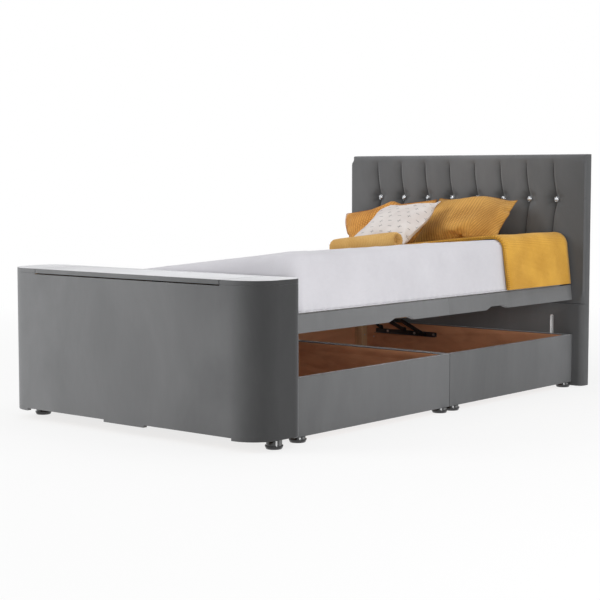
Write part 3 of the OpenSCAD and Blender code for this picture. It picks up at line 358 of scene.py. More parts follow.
def pile_group():
    """Brushed clouds and the fine fibre of a short pile."""
    tree, given, tie = new_group("brushed_pile", [
        ("Cloud", "Float", 2.6), ("Fibre", "Float", 900.0)],
        [("Brushed", "Float"), ("Nap", "Float")])
    where = object_space(tree)
    squeezed = stretched(tree, where, (1.0, 1.0, 0.55))
    cloud = mottle(tree, squeezed, given.outputs["Cloud"], 5.0, Roughness=0.6, Distortion=0.8)
    stroke = mottle(tree, stretched(tree, where, (34.0, 34.0, 6.0)), 1.0, 4.0, Distortion=1.2)
    tie("Brushed", ranged(tree, calc(tree, "MULTIPLY_ADD", stroke, 0.14, cloud), 0.4, 0.75))
    tie("Nap", mottle(tree, where, given.outputs["Fibre"], 2.0))
    return tree


pile = pile_group()


def velvet_material(name, dark, light, painted_shade_across=None, painted_groove_shade=False):
    """Grey velvet between two shades. Its painted shade across, if given, darkens or lightens it
    along the piece's x axis where less or more light falls: points of (distance across, share).
    With painted groove shade it also reads a painted shade and highlight beside its folds from the
    piece."""
    material, tree, shader = new_material(name, Roughness=0.9, Sheen_Weight=0.4,
                                          Sheen_Roughness=0.35, Sheen_Tint=(0.9, 0.91, 0.95, 1),
                                          Specular_IOR_Level=0.25)
    brushed = place(tree, pile, {"Cloud": 2.6, "Fibre": 900.0})
    nap = brushed.outputs["Nap"]
    speck = colour_between(tree, nap, [c * 0.86 for c in dark], [c * 1.12 for c in dark])
    light_speck = colour_between(tree, nap, [c * 0.9 for c in light], [c * 1.1 for c in light])
    shade = mixed(tree, brushed.outputs["Brushed"], speck, light_speck)
    # Painted shade: the colour is scaled along the piece's x axis to stand in for light that falls
    # off across it.
    if painted_shade_across:
        across = add(tree, "SeparateXYZ", {0: object_space(tree)}).outputs[0]
        (x0, s0), (x1, s1), (x2, s2) = painted_shade_across
        first = ranged(tree, across, x0, x1, s0, s1)
        second = add(tree, "MapRange", {0: across, 1: x1, 2: x2, 3: 1.0, 4: s2 / s1},
                     interpolation_type="SMOOTHSTEP").outputs[0]
        shade = times(tree, shade, calc(tree, "MULTIPLY", first, second))
    # Painted shade and painted highlight, read per point from the piece beside its grooves.
    if painted_groove_shade:
        beside = add(tree, "Attribute", attribute_name="painted_groove_light").outputs["Fac"]
        shade = times(tree, shade, calc(tree, "ADD", beside, 1.0))
    link_in(tree, shader, Base_Color=shade, Normal=bump_of(tree, nap, 0.0004, 0.5))
    return material


velvet = velvet_material("grey_velvet", (0.118, 0.12, 0.122), (0.148, 0.15, 0.153))
cover_edge = 0.003
join_y = (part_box("foot_half_cover")[1].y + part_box("head_half_cover")[0].y) / 2
join_open = 0.0016


def parted(piece):
    """Draws a cover back from the plane where the two boxes meet, which leaves a dark joint."""
    for vertex in piece.data.vertices:
        if abs(vertex.co.y - join_y) < cover_edge:
            vertex.co.y += math.copysign(join_open, vertex.co.y - join_y)
    return piece


parted(eased("foot_box_cover", "foot_half_cover", cover_edge, velvet))
parted(eased("head_box_cover", "head_half_cover", cover_edge, velvet))


# Bolts with round black hand knobs that clamp the two boxes together through
# their middle walls. Their far ends carry plain heads.

def plastic_material(name, colour, rough, coat=0.0):
    """Moulded plastic with a fine spark texture."""
    material, tree, shader = new_material(name, Coat_Weight=coat, Coat_Roughness=0.08)
    marks = place(tree, wear, {"Size": 18.0, "Amount": 0.8})
    grain = mottle(tree, object_space(tree), 400.0, 3.0)
    base = colour_between(tree, marks.outputs["Rub"], colour, [c * 1.6 + 0.004 for c in colour])
    link_in(tree, shader, Base_Color=base, Normal=bump_of(tree, grain, 0.00006),
            Roughness=ranged(tree, grain, 0.3, 0.7, rough - 0.05, rough + 0.05))
    return material


case_plastic = plastic_material("matt_black_plastic", (0.012, 0.012, 0.013), 0.55)
eased("joining_knobs", "joining_bolts", 0.0015, case_plastic)


# The glides under the boxes and the foot panel: a black domed foot pressed
# into a dark polished steel rim, which shows as a thin ring above the floor.

black_gloss = plastic_material("gloss_black_plastic", (0.008, 0.008, 0.009), 0.16, coat=0.6)
dark_chrome = metal_material("dark_chrome", (0.06, 0.06, 0.063), 0.14, spread=0.05)
eased("glide_feet", "glide_domes", 0.0006, black_gloss)
eased("glide_rings", "glide_rims", 0.0008, dark_chrome)


# The lifting platform: a frame of edge boards, cross boards and slats with a
# deck on top, made in two halves bolted together, and wrapped in the same
# velvet, which is turned under the edge boards and stapled. Here the velvet
# is a lighter copy of the grey: painted light on the platform's faces.

plywood = board_material("plywood", (0.36, 0.22, 0.11), (0.52, 0.35, 0.2), 0.55, (30, 3, 30))
softwood_across = board_material("softwood_across", *softwood_shades, softwood_rough, (4, 60, 60))
edge_boards = eased("edge_boards", "platform_side_rails", 0.001, plywood)
eased_all([("cross_boards", "platform_end_rails"), ("decks", "platform_decks")], 0.001, plywood)
eased("deck_slats", "platform_slats", 0.002, softwood_across)
# A lighter copy of the grey velvet: painted light, for the light that falls on the platform's
# sides.
velvet_platform_lit_copy = velvet_material("grey_velvet_platform", (0.14, 0.142, 0.144), (0.172, 0.174, 0.177))
eased_all([("foot_platform_cover", "foot_deck_cover"), ("head_platform_cover", "head_deck_cover")],
          cover_edge, velvet_platform_lit_copy, steps=3)


def turned_under(piece, material, wraps_over):
    """Shows the velvet on those faces of a board that it is turned over."""
    piece.data.materials.append(material)
    for face in piece.data.polygons:
        if wraps_over(face.normal, face.center):
            face.material_index = 1


turned_under(edge_boards, velvet_platform_lit_copy, lambda way, at: way.z < -0.2)
eased("platform_bolts", "deck_bolts", 0.0006, zinc)


# The lift linkage at each end: flat steel rails, brackets and arms in satin
# black, turned pins with flat heads, and a gas strut, a black tube with a
# bright rod. The rails' bolt heads are left bright and catch the light.

black_steel = metal_material("satin_black_steel", (0.014, 0.014, 0.015), 0.36, metallic=0.0)
rod_steel = metal_material("bright_rod", (0.62, 0.63, 0.66), 0.1, spread=0.03)
steel_edge = 0.0006
eased_all([("lift_brackets", "platform_brackets"), ("lift_rails", "base_rails"),
           ("swing_arms", "main_arms"), ("guide_links", "guide_arms"),
           ("strut_bodies", "strut_tubes")], steel_edge, black_steel)
blackened = metal_material("blackened_pins", (0.05, 0.05, 0.052), 0.3, spread=0.06)
eased_all([("platform_pivot_pins", "platform_pins"), ("base_pivot_pins", "base_pins")],
          steel_edge, blackened)
eased("rail_bolt_heads", "rail_bolts", steel_edge, zinc)
eased("strut_piston_rods", "strut_rods", 0.0004, rod_steel)


# The mattress: a sprung block in woven ticking, with rounded borders above
# and below. Little of it shows, under the hem of the sheet.

platform_tilt = math.radians(-7)
bed_turn = Matrix.Rotation(platform_tilt, 4, "Y")


def turn_to(degrees):
    """Cosine and sine of an angle."""
    return math.cos(math.radians(degrees)), math.sin(math.radians(degrees))


def rounding(radius, base, angles):
    """Points of an edge with a radius: how far each is drawn in, and its height."""
    return [(radius - radius * c, base + radius * s) for c, s in map(turn_to, angles)]


def tilted_box(node):
    """The lowest and the highest corner of a node, in axes that lean with the platform."""
    back = bed_turn.inverted()
    spots = [back @ v.co for v in frame["nodes"][node].data.vertices]
    low = Vector([min(s[i] for s in spots) for i in range(3)])
    high = Vector([max(s[i] for s in spots) for i in range(3)])
    return low, high


bed_low, bed_high = tilted_box("mattress")
bed_mid = Vector(((bed_low.x + bed_high.x) / 2, (bed_low.y + bed_high.y) / 2, bed_low.z))
# Bed axes: x across, y along, z up from the bottom of the mattress
bed_place = bed_turn @ Matrix.Translation(bed_mid)
bed_x = (bed_high.x - bed_low.x) / 2 - 0.003
bed_y = (bed_high.y - bed_low.y) / 2 - 0.003
bed_h = bed_high.z - bed_low.z


def skin(name, rows, material, place_at=None, across_closed=False, caps=""):
    """A piece made of a skin over rows of points, closed by caps at its first or last row."""
    form = bmesh.new()
    made = [[form.verts.new(p) for p in row] for row in rows]
    for low, high in zip(made, made[1:]):
        band(form, low, high, across_closed)
    if "first" in caps:
        form.faces.new(list(reversed(made[0])))
    if "last" in caps:
        form.faces.new(made[-1])
    bmesh.ops.recalc_face_normals(form, faces=form.faces)
    return built(name, form, material, place_at)


def plan_points(inset, half_x, half_y, radius, step):
    """Points round a rectangle with rounded corners, drawn in by an inset, as
    (point, outward direction, distance run). The count doesn't change with the inset."""
    n = max(4, round(radius * math.pi / 2 / step))
    now = max(radius - inset, 0.012)
    centres = [Vector((sx * (half_x - inset - now), sy * (half_y - inset - now), 0))
               for sx, sy in ((1, 1), (-1, 1), (-1, -1), (1, -1))]
    points, run = [], 0.0
    for k, centre in enumerate(centres):
        for i in range(n):
            out = Vector((*turn_to(90 * k + 90 * i / n), 0))
            points.append((centre + out * now, out, run))
            run += radius * math.pi / 2 / n
        out = Vector((*turn_to(90 * k + 90), 0))
        side = 2 * ((half_x if k % 2 == 0 else half_y) - radius)
        m = max(2, round(side / step))
        here, there = centre + out * now, centres[(k + 1) % 4] + out * now
        for i in range(m):
            points.append((here.lerp(there, i / m), out, run))
            run += side / m
    return points


def weave_group():
    """Plain weave: two sets of threads that pass over and under each other."""
    tree, given, tie = new_group("plain_weave", [
        ("Cloth", "Vector", None), ("Threads", "Float", 900.0)],
        [("Thread", "Float"), ("Slub", "Float")])
    cloth = given.outputs["Cloth"]
    axes = add(tree, "SeparateXYZ", {0: times(tree, cloth, given.outputs["Threads"])})
    waves = [calc(tree, "SINE", axes.outputs[k]) for k in (0, 1)]
    tie("Thread", ranged(tree, calc(tree, "MULTIPLY", *waves), -1.0, 1.0))
    tie("Slub", mottle(tree, stretched(tree, cloth, (700, 40, 40)), 1.0, 2.0))
    return tree


weave = weave_group()


def cloth_material(name, dark, light, threads, depth=0.0002):
    """Plain woven cloth between two shades."""
    material, tree, shader = new_material(name, Sheen_Weight=0.15, Sheen_Roughness=0.5,
                                          Specular_IOR_Level=0.3, Roughness=0.85)
    where = object_space(tree)
    cloth = place(tree, weave, {"Cloth": where, "Threads": threads})
    shade = calc(tree, "MULTIPLY_ADD", cloth.outputs["Slub"], 0.3, mottle(tree, where, 5.0, 4.0))
    base = colour_between(tree, ranged(tree, shade, 0.4, 0.9), dark, light)
    link_in(tree, shader, Base_Color=base,
            Normal=bump_of(tree, cloth.outputs["Thread"], depth, 0.6))
    return material


ticking = cloth_material("mattress_ticking", (0.6, 0.58, 0.54), (0.7, 0.68, 0.64), 1400.0)
corner_r = 0.07
low_r = 0.018
border_r = 0.036
crown_h = 0.007
shoulder = bed_h - border_r - crown_h


def crown(inset):
    """Drop of the mattress top from its middle toward its sides."""
    share = min(1.0, inset / 0.33)
    return crown_h * (1 - share) * (1 - share)


def mattress_profile():
    """Inset and height from the bottom edge, round the side, to the middle of the top."""
    side = [(-0.0015 * math.sin(math.pi * share), low_r + (shoulder - low_r) * share)
            for share in (0.15, 0.3, 0.5, 0.7, 0.85)]
    return rounding(low_r, low_r, (-90, -60, -30, 0)) + side \
        + rounding(border_r, shoulder, (0, 22, 45, 67, 90))


def mattress_piece():
    """The mattress block, closed below and above."""
    rows = []
    for inset, height in mattress_profile():
        plan = plan_points(inset, bed_x, bed_y, corner_r, 0.03)
        rows.append([p + Vector((0, 0, height)) for p, _, _ in plan])
    return skin("mattress_block", rows, ticking, bed_place, across_closed=True, caps="first last")


mattress = settle(mattress_piece(), "mattress")


# The fitted sheet: plain white cotton drawn over the whole mattress and down
# its sides, held by an elastic hem that puckers it, most of all round the
# corners. Faint pulls and soft waves cross its sides.

white_cotton = cloth_material("white_cotton", (0.555, 0.545, 0.578), (0.62, 0.61, 0.643), 2200.0,
                              depth=0.00012)
sheet_out = 0.0015
hem_low = 0.006


def fold_noise(a, b, c=0.0):
    """Smooth noise from -1 to 1."""
    return noise.noise(Vector((a, b, c)))


def corner_share(p):
    """How near a point of the plan is to a corner of the mattress, from 0 to 1."""
    dx = max(0.0, 1 - (bed_x - abs(p.x)) / 0.3)
    dy = max(0.0, 1 - (bed_y - abs(p.y)) / 0.3)
    return min(1.0, dx) * min(1.0, dy)


def sheet_wave(p, run, height):
    """How far the sheet stands off the mattress, for its pulls, waves and puckers. It lies
    flatter under the throw and beside the foot panel."""
    low = max(0.0, 1 - height / 0.075)
    gathered = 0.0016 + 0.0022 * corner_share(p)
    pucker = low * low * gathered * (1 + math.sin(run * 160 + 3.2 * fold_noise(run * 9, 0)))
    wave = 0.0042 * (0.4 + fold_noise(run * 4.1, height * 9, 1.7))
    drawn = max(0.0, fold_noise(run * 13 + height * 17, height * 4, 4.2)) ** 1.4
    stand = pucker + max(0.0, wave) + 0.0062 * drawn * (1 - 0.5 * low)
    covered = max(0.0, min(1.0, (p.y - 0.33) / 0.09))
    pressed = max(0.0, min(1.0, (0.05 - bed_y - p.y) / 0.04))
    return sheet_out + stand * (1 - 0.6 * covered) * (1 - 0.45 * pressed)


def sheet_rows():
    """Rows from the hem up the side and over the top to its middle line."""
    levels = [(0.004, hem_low)]
    levels += [(0.0, height) for height in (0.014, 0.024, 0.036, 0.05, 0.068, 0.09, 0.115, 0.14)]
    levels += [(0.0, shoulder - down) for down in (0.02, 0.0)]
    levels += rounding(border_r, shoulder, (15, 30, 45, 60, 75, 90))
    levels += [(inset, bed_h - crown(inset))
               for inset in (0.055, 0.08, 0.11, 0.15, 0.2, 0.26, 0.33, 0.4, 0.47, 0.53, 0.565)]
    rows = []
    for inset, height in levels:
        rise = max(0.0, min(1.0, (height - shoulder) / border_r))
        row = []
        for p, out, run in plan_points(inset, bed_x, bed_y, corner_r, 0.009):
            if inset > border_r:
                lift = sheet_out + 0.0016 * (0.5 + fold_noise(p.x * 4, p.y * 3, 2.0))
                row.append(p + Vector((0, 0, height + max(0.0008, lift))))
            else:
                way = (out * (1 - rise) + Vector((0, 0, 1)) * rise).normalized()
                row.append(p + Vector((0, 0, height)) + way * sheet_wave(p, run, height))
        rows.append(row)
    return rows


def thickened(piece, thickness):
    """Gives a cloth its thickness, half to each side."""
    solid = piece.modifiers.new("cloth thickness", "SOLIDIFY")
    solid.thickness = thickness
    solid.offset = 0
    return piece


sheet_points = sheet_rows()
fitted_sheet = settle(skin("fitted_sheet_cloth", sheet_points, white_cotton, bed_place,
                           across_closed=True, caps="last"), "fitted_sheet")
thickened(fitted_sheet, 0.0012)


def tube_along(name, points, radius, material, closed=False, sides=6, place_at=None):
    """A thin tube that follows a line of points."""
    form = bmesh.new()
    rows, n = [], len(points)
    for i, p in enumerate(points):
        ahead = points[(i + 1) % n] if closed or i < n - 1 else p
        behind = points[i - 1] if closed or i > 0 else p
        along = (ahead - behind).normalized()
        side = along.cross(Vector((0, 0, 1)))
        if side.length < 0.1:
            side = along.cross(Vector((0, 1, 0)))
        side.normalize()
        up = side.cross(along)
        rows.append([form.verts.new(p + (side * math.cos(2 * math.pi * k / sides)
                                         + up * math.sin(2 * math.pi * k / sides)) * radius)
                     for k in range(sides)])
    for i in range(n if closed else n - 1):
        band(form, rows[i], rows[(i + 1) % n])
    if not closed:
        form.faces.new(list(reversed(rows[0])))
        form.faces.new(rows[-1])
    bmesh.ops.recalc_face_normals(form, faces=form.faces)
    return built(name, form, material, place_at)


hem = tube_along("sheet_hem", sheet_points[0], 0.0022, white_cotton, closed=True,
                 place_at=bed_place)
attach(hem, "platform")


# The throw: a mustard knitted blanket about 1.5 m square, folded in three
# across its width and once along its length, and laid over the pillow end so
# that its fold hangs down the open side. The edge toward the foot is whipped.

def stitches_group():
    """Rows of slanted stitches whose slant turns over from row to row."""
    tree, given, tie = new_group("slanted_stitches", [
        ("Cloth", "Vector", None), ("Rows", "Float", 150.0), ("Pitch", "Float", 1500.0),
        ("Lean", "Float", 1.0)], [("Height", "Float")])
    axes = add(tree, "SeparateXYZ", {0: given.outputs["Cloth"]})
    rows = calc(tree, "MULTIPLY", axes.outputs[1], given.outputs["Rows"])
    within = calc(tree, "FRACT", rows)
    turned_over = calc(tree, "GREATER_THAN", calc(tree, "MODULO", rows, 2.0), 1.0)
    sign = calc(tree, "MULTIPLY_ADD", turned_over, 2.0, -1.0)
    slant = calc(tree, "MULTIPLY", calc(tree, "MULTIPLY", within, sign), given.outputs["Lean"])
    shift = calc(tree, "MULTIPLY", slant, math.pi)
    angle = calc(tree, "MULTIPLY_ADD", axes.outputs[0], given.outputs["Pitch"], shift)
    stitch = ranged(tree, calc(tree, "SINE", angle), -1.0, 1.0)
    from_middle = calc(tree, "ABSOLUTE", calc(tree, "SUBTRACT", within, 0.5))
    tie("Height", calc(tree, "MULTIPLY", stitch, ranged(tree, from_middle, 0.5, 0.25)))
    return tree


stitches = stitches_group()


def knit_material(name, dark, light, row, pitch, depth, lean=1.0):
    """Knitted or ribbed cloth: slanted stitches in rows, darker between them. It reads the
    cloth's own measure, kept in its UV map in metres."""
    material, tree, shader = new_material(name, Roughness=0.88, Sheen_Weight=0.18,
                                          Sheen_Roughness=0.5, Sheen_Tint=(1.0, 0.86, 0.6, 1),
                                          Specular_IOR_Level=0.2)
    stitch = place(tree, stitches, {
        "Cloth": add(tree, "UVMap", uv_map="cut").outputs[0], "Rows": 1 / row,
        "Pitch": 2 * math.pi / pitch, "Lean": lean}).outputs["Height"]
    where = object_space(tree)
    shade = calc(tree, "MULTIPLY_ADD", stitch, 0.55, mottle(tree, where, 9.0, 5.0))
    base = colour_between(tree, ranged(tree, shade, 0.45, 1.05), dark, light)
    raised = calc(tree, "MULTIPLY_ADD", mottle(tree, where, 700.0, 2.0), 0.25, stitch)
    link_in(tree, shader, Base_Color=base, Normal=bump_of(tree, raised, depth, 0.8))
    return material


throw_knit = knit_material("mustard_knit", (0.5, 0.245, 0.025), (0.76, 0.42, 0.06), 0.0052, 0.0042,
                           0.0007)
throw_far = 0.04
throw_from = 0.43
throw_wide = 0.51
throw_cloth = 0.0019
throw_lift = sheet_out + 0.0028
layer_rise = 0.005
half_layer = 0.00125
folds = 3


def over_the_edge():
    """Points from the far edge of the throw, over the near side and down to its fold, with
    outward normals: (x, z, normal x, normal z, distance run)."""
    line, flat_steps, hang_steps, first_step, bottom = [], 24, 13, 0.6, 0.008
    for i in range(flat_steps + 1):
        x = throw_far + (bed_x - border_r - throw_far) * i / flat_steps
        line.append((x, bed_h - crown(bed_x - x), 0.0, 1.0))
    for a in (78, 66, 54, 42, 30, 18, 6):
        c, s = turn_to(a)
        line.append((bed_x - border_r + border_r * c, shoulder + border_r * s, c, s))
    for i in range(hang_steps + 1):
        down = (shoulder - bottom) * (i + first_step) / (hang_steps + first_step)
        line.append((bed_x, shoulder - down, 1.0, 0.0))
    run, result = 0.0, []
    for i, point in enumerate(line):
        if i:
            run += math.hypot(point[0] - line[i - 1][0], point[1] - line[i - 1][1])
        result.append((*point, run))
    return result


def fold_line():
    """Section of the folded throw along the bed: (along, rise, normal, distance run)."""
    line, steps, inner = [], 26, layer_rise / 2
    rise, run = layer_rise / 2, 0.0
    for k in range(folds):
        out = 1 if k % 2 == 0 else -1
        start, end = (0.0, throw_wide) if out == 1 else (throw_wide, 0.0)
        for i in range(steps + 1):
            if (i == steps and k < folds - 1) or (i == 0 and k > 0):
                continue
            along = start + (end - start) * i / steps
            if 0 < i < steps:
                along = min(max(along, inner), throw_wide - inner)
            line.append([along, rise, (0, out), 0.0])
        if k < folds - 1:
            edge, centre = end - out * inner, rise + layer_rise / 2
            for a in (-60, -30, 0, 30, 60):
                c, s = turn_to(a)
                line.append([edge + out * c * inner, centre + s * inner, (-out * c, -s), 0.0])
            rise += layer_rise
    for a, b in zip(line, line[1:]):
        run += math.hypot(b[0] - a[0], b[1] - a[1])
        b[3] = run
    return line


def throw_ripple(along, run):
    """Soft waves of the folded blanket, stronger where it hangs."""
    hang = min(1.0, max(0.0, (run - 0.42) / 0.25))
    wave = 0.0016 * (1 + fold_noise(along * 7, run * 4, 3.3))
    fold = hang * 0.0022 * (1 + math.sin(along * 24.6 + 1.2 * fold_noise(along * 3, run * 2)))
    return wave + fold


def throw_piece():
    """The whole blanket as one skin: two layers of cloth that follow the fold line, joined
    where the blanket is folded in half at its hanging end."""
    path, section = over_the_edge(), fold_line()
    last = len(path) - 1
    under = [(i, 1) for i in range(last + 1)]
    passes = under + [(last, 0)] + [(i, -1) for i, _ in reversed(under)]
    form = bmesh.new()
    measure = form.loops.layers.uv.new("cut")
    rows, spots = [], {}
    for i, side in passes:
        x, z, nx, nz, run = path[i]
        length = run if side >= 0 else 2 * path[last][4] - run
        row = []
        for along, rise, (na, nr), across in section:
            lift = throw_lift + rise + side * half_layer * nr + throw_ripple(along, run)
            y = throw_from + along + side * half_layer * na
            drop = 0.0016 if side == 0 else 0.0
            vert = form.verts.new((x + nx * lift, y, z + nz * lift - drop))
            spots[vert] = (across, length)
            row.append(vert)
        rows.append(row)
    for low, high in zip(rows, rows[1:]):
        band(form, low, high, closed=False)
    for face in form.faces:
        for loop in face.loops:
            loop[measure].uv = spots[loop.vert]
    return built("folded_throw", form, throw_knit, bed_place), path


throw, throw_path = throw_piece()
thickened(settle(throw, "throw"), throw_cloth)


def whip_stitches():
    """Yarn loops over the fold that faces the foot of the bed."""
    yarn = knit_material("mustard_yarn", (0.36, 0.17, 0.03), (0.6, 0.33, 0.07), 0.002, 0.002,
                         0.0003)
    parts, step, loop_r, slip = [], 0.0085, 0.0062, 0.0035
    first = throw_path[0][4]
    for k in range(int((throw_path[-1][4] - first) / step)):
        run = first + (k + 0.5) * step
        i = max(1, next(j for j, q in enumerate(throw_path) if q[4] >= run))
        a, b = throw_path[i - 1], throw_path[i]
        t = (run - a[4]) / (b[4] - a[4])
        x, z, nx, nz = (a[j] + (b[j] - a[j]) * t for j in range(4))
        top = throw_lift + throw_ripple(0.0, run) + (folds - 1) * layer_rise
        points = []
        for angle in (-70, -35, 0, 35, 70, 100):
            c, s = turn_to(angle)
            lift = top + loop_r * s
            slide = slip * (angle + 70) / 170
            points.append(Vector((x + nx * lift + nz * slide, throw_from + slip - loop_r * c,
                                  z + nz * lift - nx * slide)))
        parts.append(tube_along("stitch", points, 0.0011, yarn, sides=5, place_at=bed_place))
    return joined("throw_edge_stitches", parts)


edge_stitches = whip_stitches()
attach(edge_stitches, "platform")


# The square and long cushions: stuffed covers of two panels sewn together all
# round, whose sides draw in between their corners as the stuffing fills them.
# Two are mustard weave, and one is off-white cotton with a grey print.

def cushion_axes(node):
    """Where a cushion lies: its frame as a matrix, and half of its length and height."""
    spots = [v.co.copy() for v in frame["nodes"][node].data.vertices]
    middle = sum(spots, Vector()) / len(spots)
    first = max(spots, key=lambda p: (p - middle).length)
    across = max(spots, key=lambda p: (p - first).length)
    line = (across - first).normalized()
    third = max(spots, key=lambda p: ((p - first) - line * (p - first).dot(line)).length)
    fourth = max(spots, key=lambda p: (p - third).length)
    centre = (first + across + third + fourth) / 4
    sides = sorted([third - first, third - across], key=lambda s: -abs(s.x))
    u, v = (s.normalized() for s in sides)
    u = u if u.x > 0 else -u
    v = v if v.z > 0 else -v
    n = u.cross(v)
    frame_of = Matrix((u, v, n)).transposed().to_4x4()
    return Matrix.Translation(centre) @ frame_of, sides[0].length / 2, sides[1].length / 2


cell = 0.009
thick = 0.048
draw_in = 0.055
at_seam = 0.9999


def full_height(u, v):
    """Share of the thickness at a place on a cushion, from its middle out to its seams."""
    return max(0.0, (1 - u * u) * (1 - v * v)) ** 0.55


def drawn_in(u, v, half_u, half_v):
    """Half the length and half the height of a cushion at a place, as its sides draw in."""
    return half_u - half_v * draw_in * (1 - v * v), half_v - half_v * draw_in * (1 - u * u)


def cut_panels(half_u, half_v, bias_from):
    """Two flat panels sewn together at their edges, with the cut measured in a UV map. If a
    share along is given, the cloth's rows run across the cushion up to it, and past it on the
    bias."""
    n_u, n_v = round(2 * half_u / cell), round(2 * half_v / cell)
    form = bmesh.new()
    measure = form.loops.layers.uv.new("cut")
    shares, faces = {}, []
    for side in (1, -1):
        rows = []
        for i in range(n_u + 1):
            row = []
            for j in range(n_v + 1):
                if side == -1 and (i in (0, n_u) or j in (0, n_v)):
                    row.append(faces[0][i][j])
                    continue
                u, v = 2 * i / n_u - 1, 2 * j / n_v - 1
                vert = form.verts.new((u * half_u, v * half_v, 0.004 * full_height(u, v) * side))
                shares[vert] = (u, v)
                row.append(vert)
            rows.append(row)
        faces.append(rows)
        for i in range(n_u):
            for j in range(n_v):
                corners = [rows[i][j], rows[i + 1][j], rows[i + 1][j + 1], rows[i][j + 1]]
                face = form.faces.new(corners if side == 1 else list(reversed(corners)))
                crosswise = bias_from and sum(shares[c][0] for c in corners) / 4 < bias_from
                for loop in face.loops:
                    x, y = shares[loop.vert][0] * half_u, shares[loop.vert][1] * half_v
                    if bias_from:
                        x, y = (y, x) if crosswise else (0.64 * x + 0.77 * y, 0.64 * y - 0.77 * x)
                    loop[measure].uv = (x + (0.5 if side == 1 else 1.5), y + 0.5)
    form.verts.index_update()
    return form, [shares[v] for v in form.verts]


def filled_with_pressure(name, form, frames=24):
    """The panels blown up by cloth simulation. Returns their points."""
    mesh = bpy.data.meshes.new(name + "_cut")
    form.to_mesh(mesh)
    piece = bpy.data.objects.new(name + "_cut", mesh)
    bpy.context.scene.collection.objects.link(piece)
    cloth = piece.modifiers.new("cloth", "CLOTH")
    settings = {"quality": 7, "mass": 0.25, "tension_stiffness": 18, "compression_stiffness": 18,
                "shear_stiffness": 6, "bending_stiffness": 2.5, "tension_damping": 8,
                "use_pressure": True, "uniform_pressure_force": 3.5}
    for key, value in settings.items():
        setattr(cloth.settings, key, value)
    cloth.settings.effector_weights.gravity = 0
    cloth.collision_settings.use_collision = False
    cloth.collision_settings.use_self_collision = False
    cloth.point_cache.frame_start = 1
    cloth.point_cache.frame_end = frames
    scene = bpy.context.scene
    for number in range(1, frames + 1):
        scene.frame_set(number)
    graph = bpy.context.evaluated_depsgraph_get()
    points = [v.co.copy() for v in piece.evaluated_get(graph).data.vertices]
    bpy.data.objects.remove(piece)
    scene.frame_set(1)
    return points


def brought_to_size(points, shares, half_u, half_v):
    """The simulated points, scaled to the cushion's edges, each taken as the mean over a few
    rows, and to its thickness."""
    n_u, n_v = round(2 * half_u / cell), round(2 * half_v / cell)
    rise = max(p.z for p in points)
    edge_u, edge_v = {}, {}
    for p, (u, v) in zip(points, shares):
        for step in range(-3, 4):
            if abs(u) > at_seam:
                edge_u.setdefault(round((v + 1) * n_v / 2) + step, []).append(abs(p.x))
            if abs(v) > at_seam:
                edge_v.setdefault(round((u + 1) * n_u / 2) + step, []).append(abs(p.y))
    sized = []
    for p, (u, v) in zip(points, shares):
        full = thick * full_height(u, v)
        limit = full * 1.04 + 0.0035 * min(1.0, full / 0.02)
        reach_u, reach_v = edge_u[round((v + 1) * n_v / 2)], edge_v[round((u + 1) * n_u / 2)]
        wide, tall = drawn_in(u, v, half_u, half_v)
        sized.append(Vector((p.x * wide / (sum(reach_u) / len(reach_u)),
                             p.y * tall / (sum(reach_v) / len(reach_v)),
                             max(-limit, min(limit, p.z * thick / rise)))))
    return sized


def smoothed(form, points, shares, rounds=5):
    """The points inside the seams, drawn toward their neighbours a few times over."""
    form.verts.ensure_lookup_table()
    beside = [[edge.other_vert(vert).index for edge in vert.link_edges] for vert in form.verts]
    for _ in range(rounds):
        points = [p if max(abs(u), abs(v)) > at_seam
                  else p.lerp(sum((points[i] for i in near), Vector()) / len(near), 0.5)
                  for p, near, (u, v) in zip(points, beside, shares)]
    return points


def corner_creases(u, v, half_u, half_v, seed):
    """Height of the small folds that run out of a cushion's corners."""
    crease = 0.0
    for cu in (-1, 1):
        for cv in (-1, 1):
            du, dv = (u - cu) * half_u, (v - cv) * half_v
            spread = math.exp(-((math.hypot(du, dv) - 0.055) / 0.035) ** 2)
            waver = 3.0 * fold_noise(cu * 3.1, cv * 2.7, seed)
            crease += 0.001 * spread * math.sin(math.atan2(dv, du) * 15 + waver)
    return crease * min(1.0, full_height(u, v) * 2.2)


def stuffed(name, node, material, front=None, bias_from=None, outline=None):
    """A stuffed cushion in place of a CAD one, and its seam. Returns its place and half sizes."""
    place_at, half_u, half_v = cushion_axes(node)
    form, shares = cut_panels(half_u, half_v, bias_from)
    points = brought_to_size(filled_with_pressure(name, form), shares, half_u, half_v)
    points = smoothed(form, points, shares)
    if outline:
        points = [Vector((*outline(p.x / half_u, p.y / half_v, half_u, half_v), p.z))
                  for p in points]
    for vert, p, (u, v) in zip(form.verts, points, shares):
        sag = 0.0035 * fold_noise(u * 2.3 + len(name), v * 2.0, 0.4) * full_height(u, v)
        crease = corner_creases(u, v, half_u, half_v, len(name))
        side = 1 if p.z >= 0 else -1
        extra = front(u, v) if front and side == 1 else 0.0
        vert.co = p + Vector((0, 0, side * (sag + crease) + extra))
    form.verts.ensure_lookup_table()
    seam = [form.verts[i].co.copy() for i in rim_order(shares)]
    piece = settle(built(name, form, material, place_at), node)
    finer = piece.modifiers.new("finer", "SUBSURF")
    finer.levels = finer.render_levels = 1
    welt = tube_along(name + "_seam", seam, 0.0016, material, closed=True, place_at=place_at)
    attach(welt, "platform")
    return place_at, half_u, half_v


def rim_order(shares):
    """Indices of the points on the sewn edge, in order round it."""
    def where(i):
        u, v = shares[i]
        if v <= -at_seam:
            return u + 1
        if u >= at_seam:
            return v + 3
        if v >= at_seam:
            return 5 - u
        return 7 - v
    rim = [i for i, (u, v) in enumerate(shares) if max(abs(u), abs(v)) > at_seam]
    return sorted(rim, key=where)


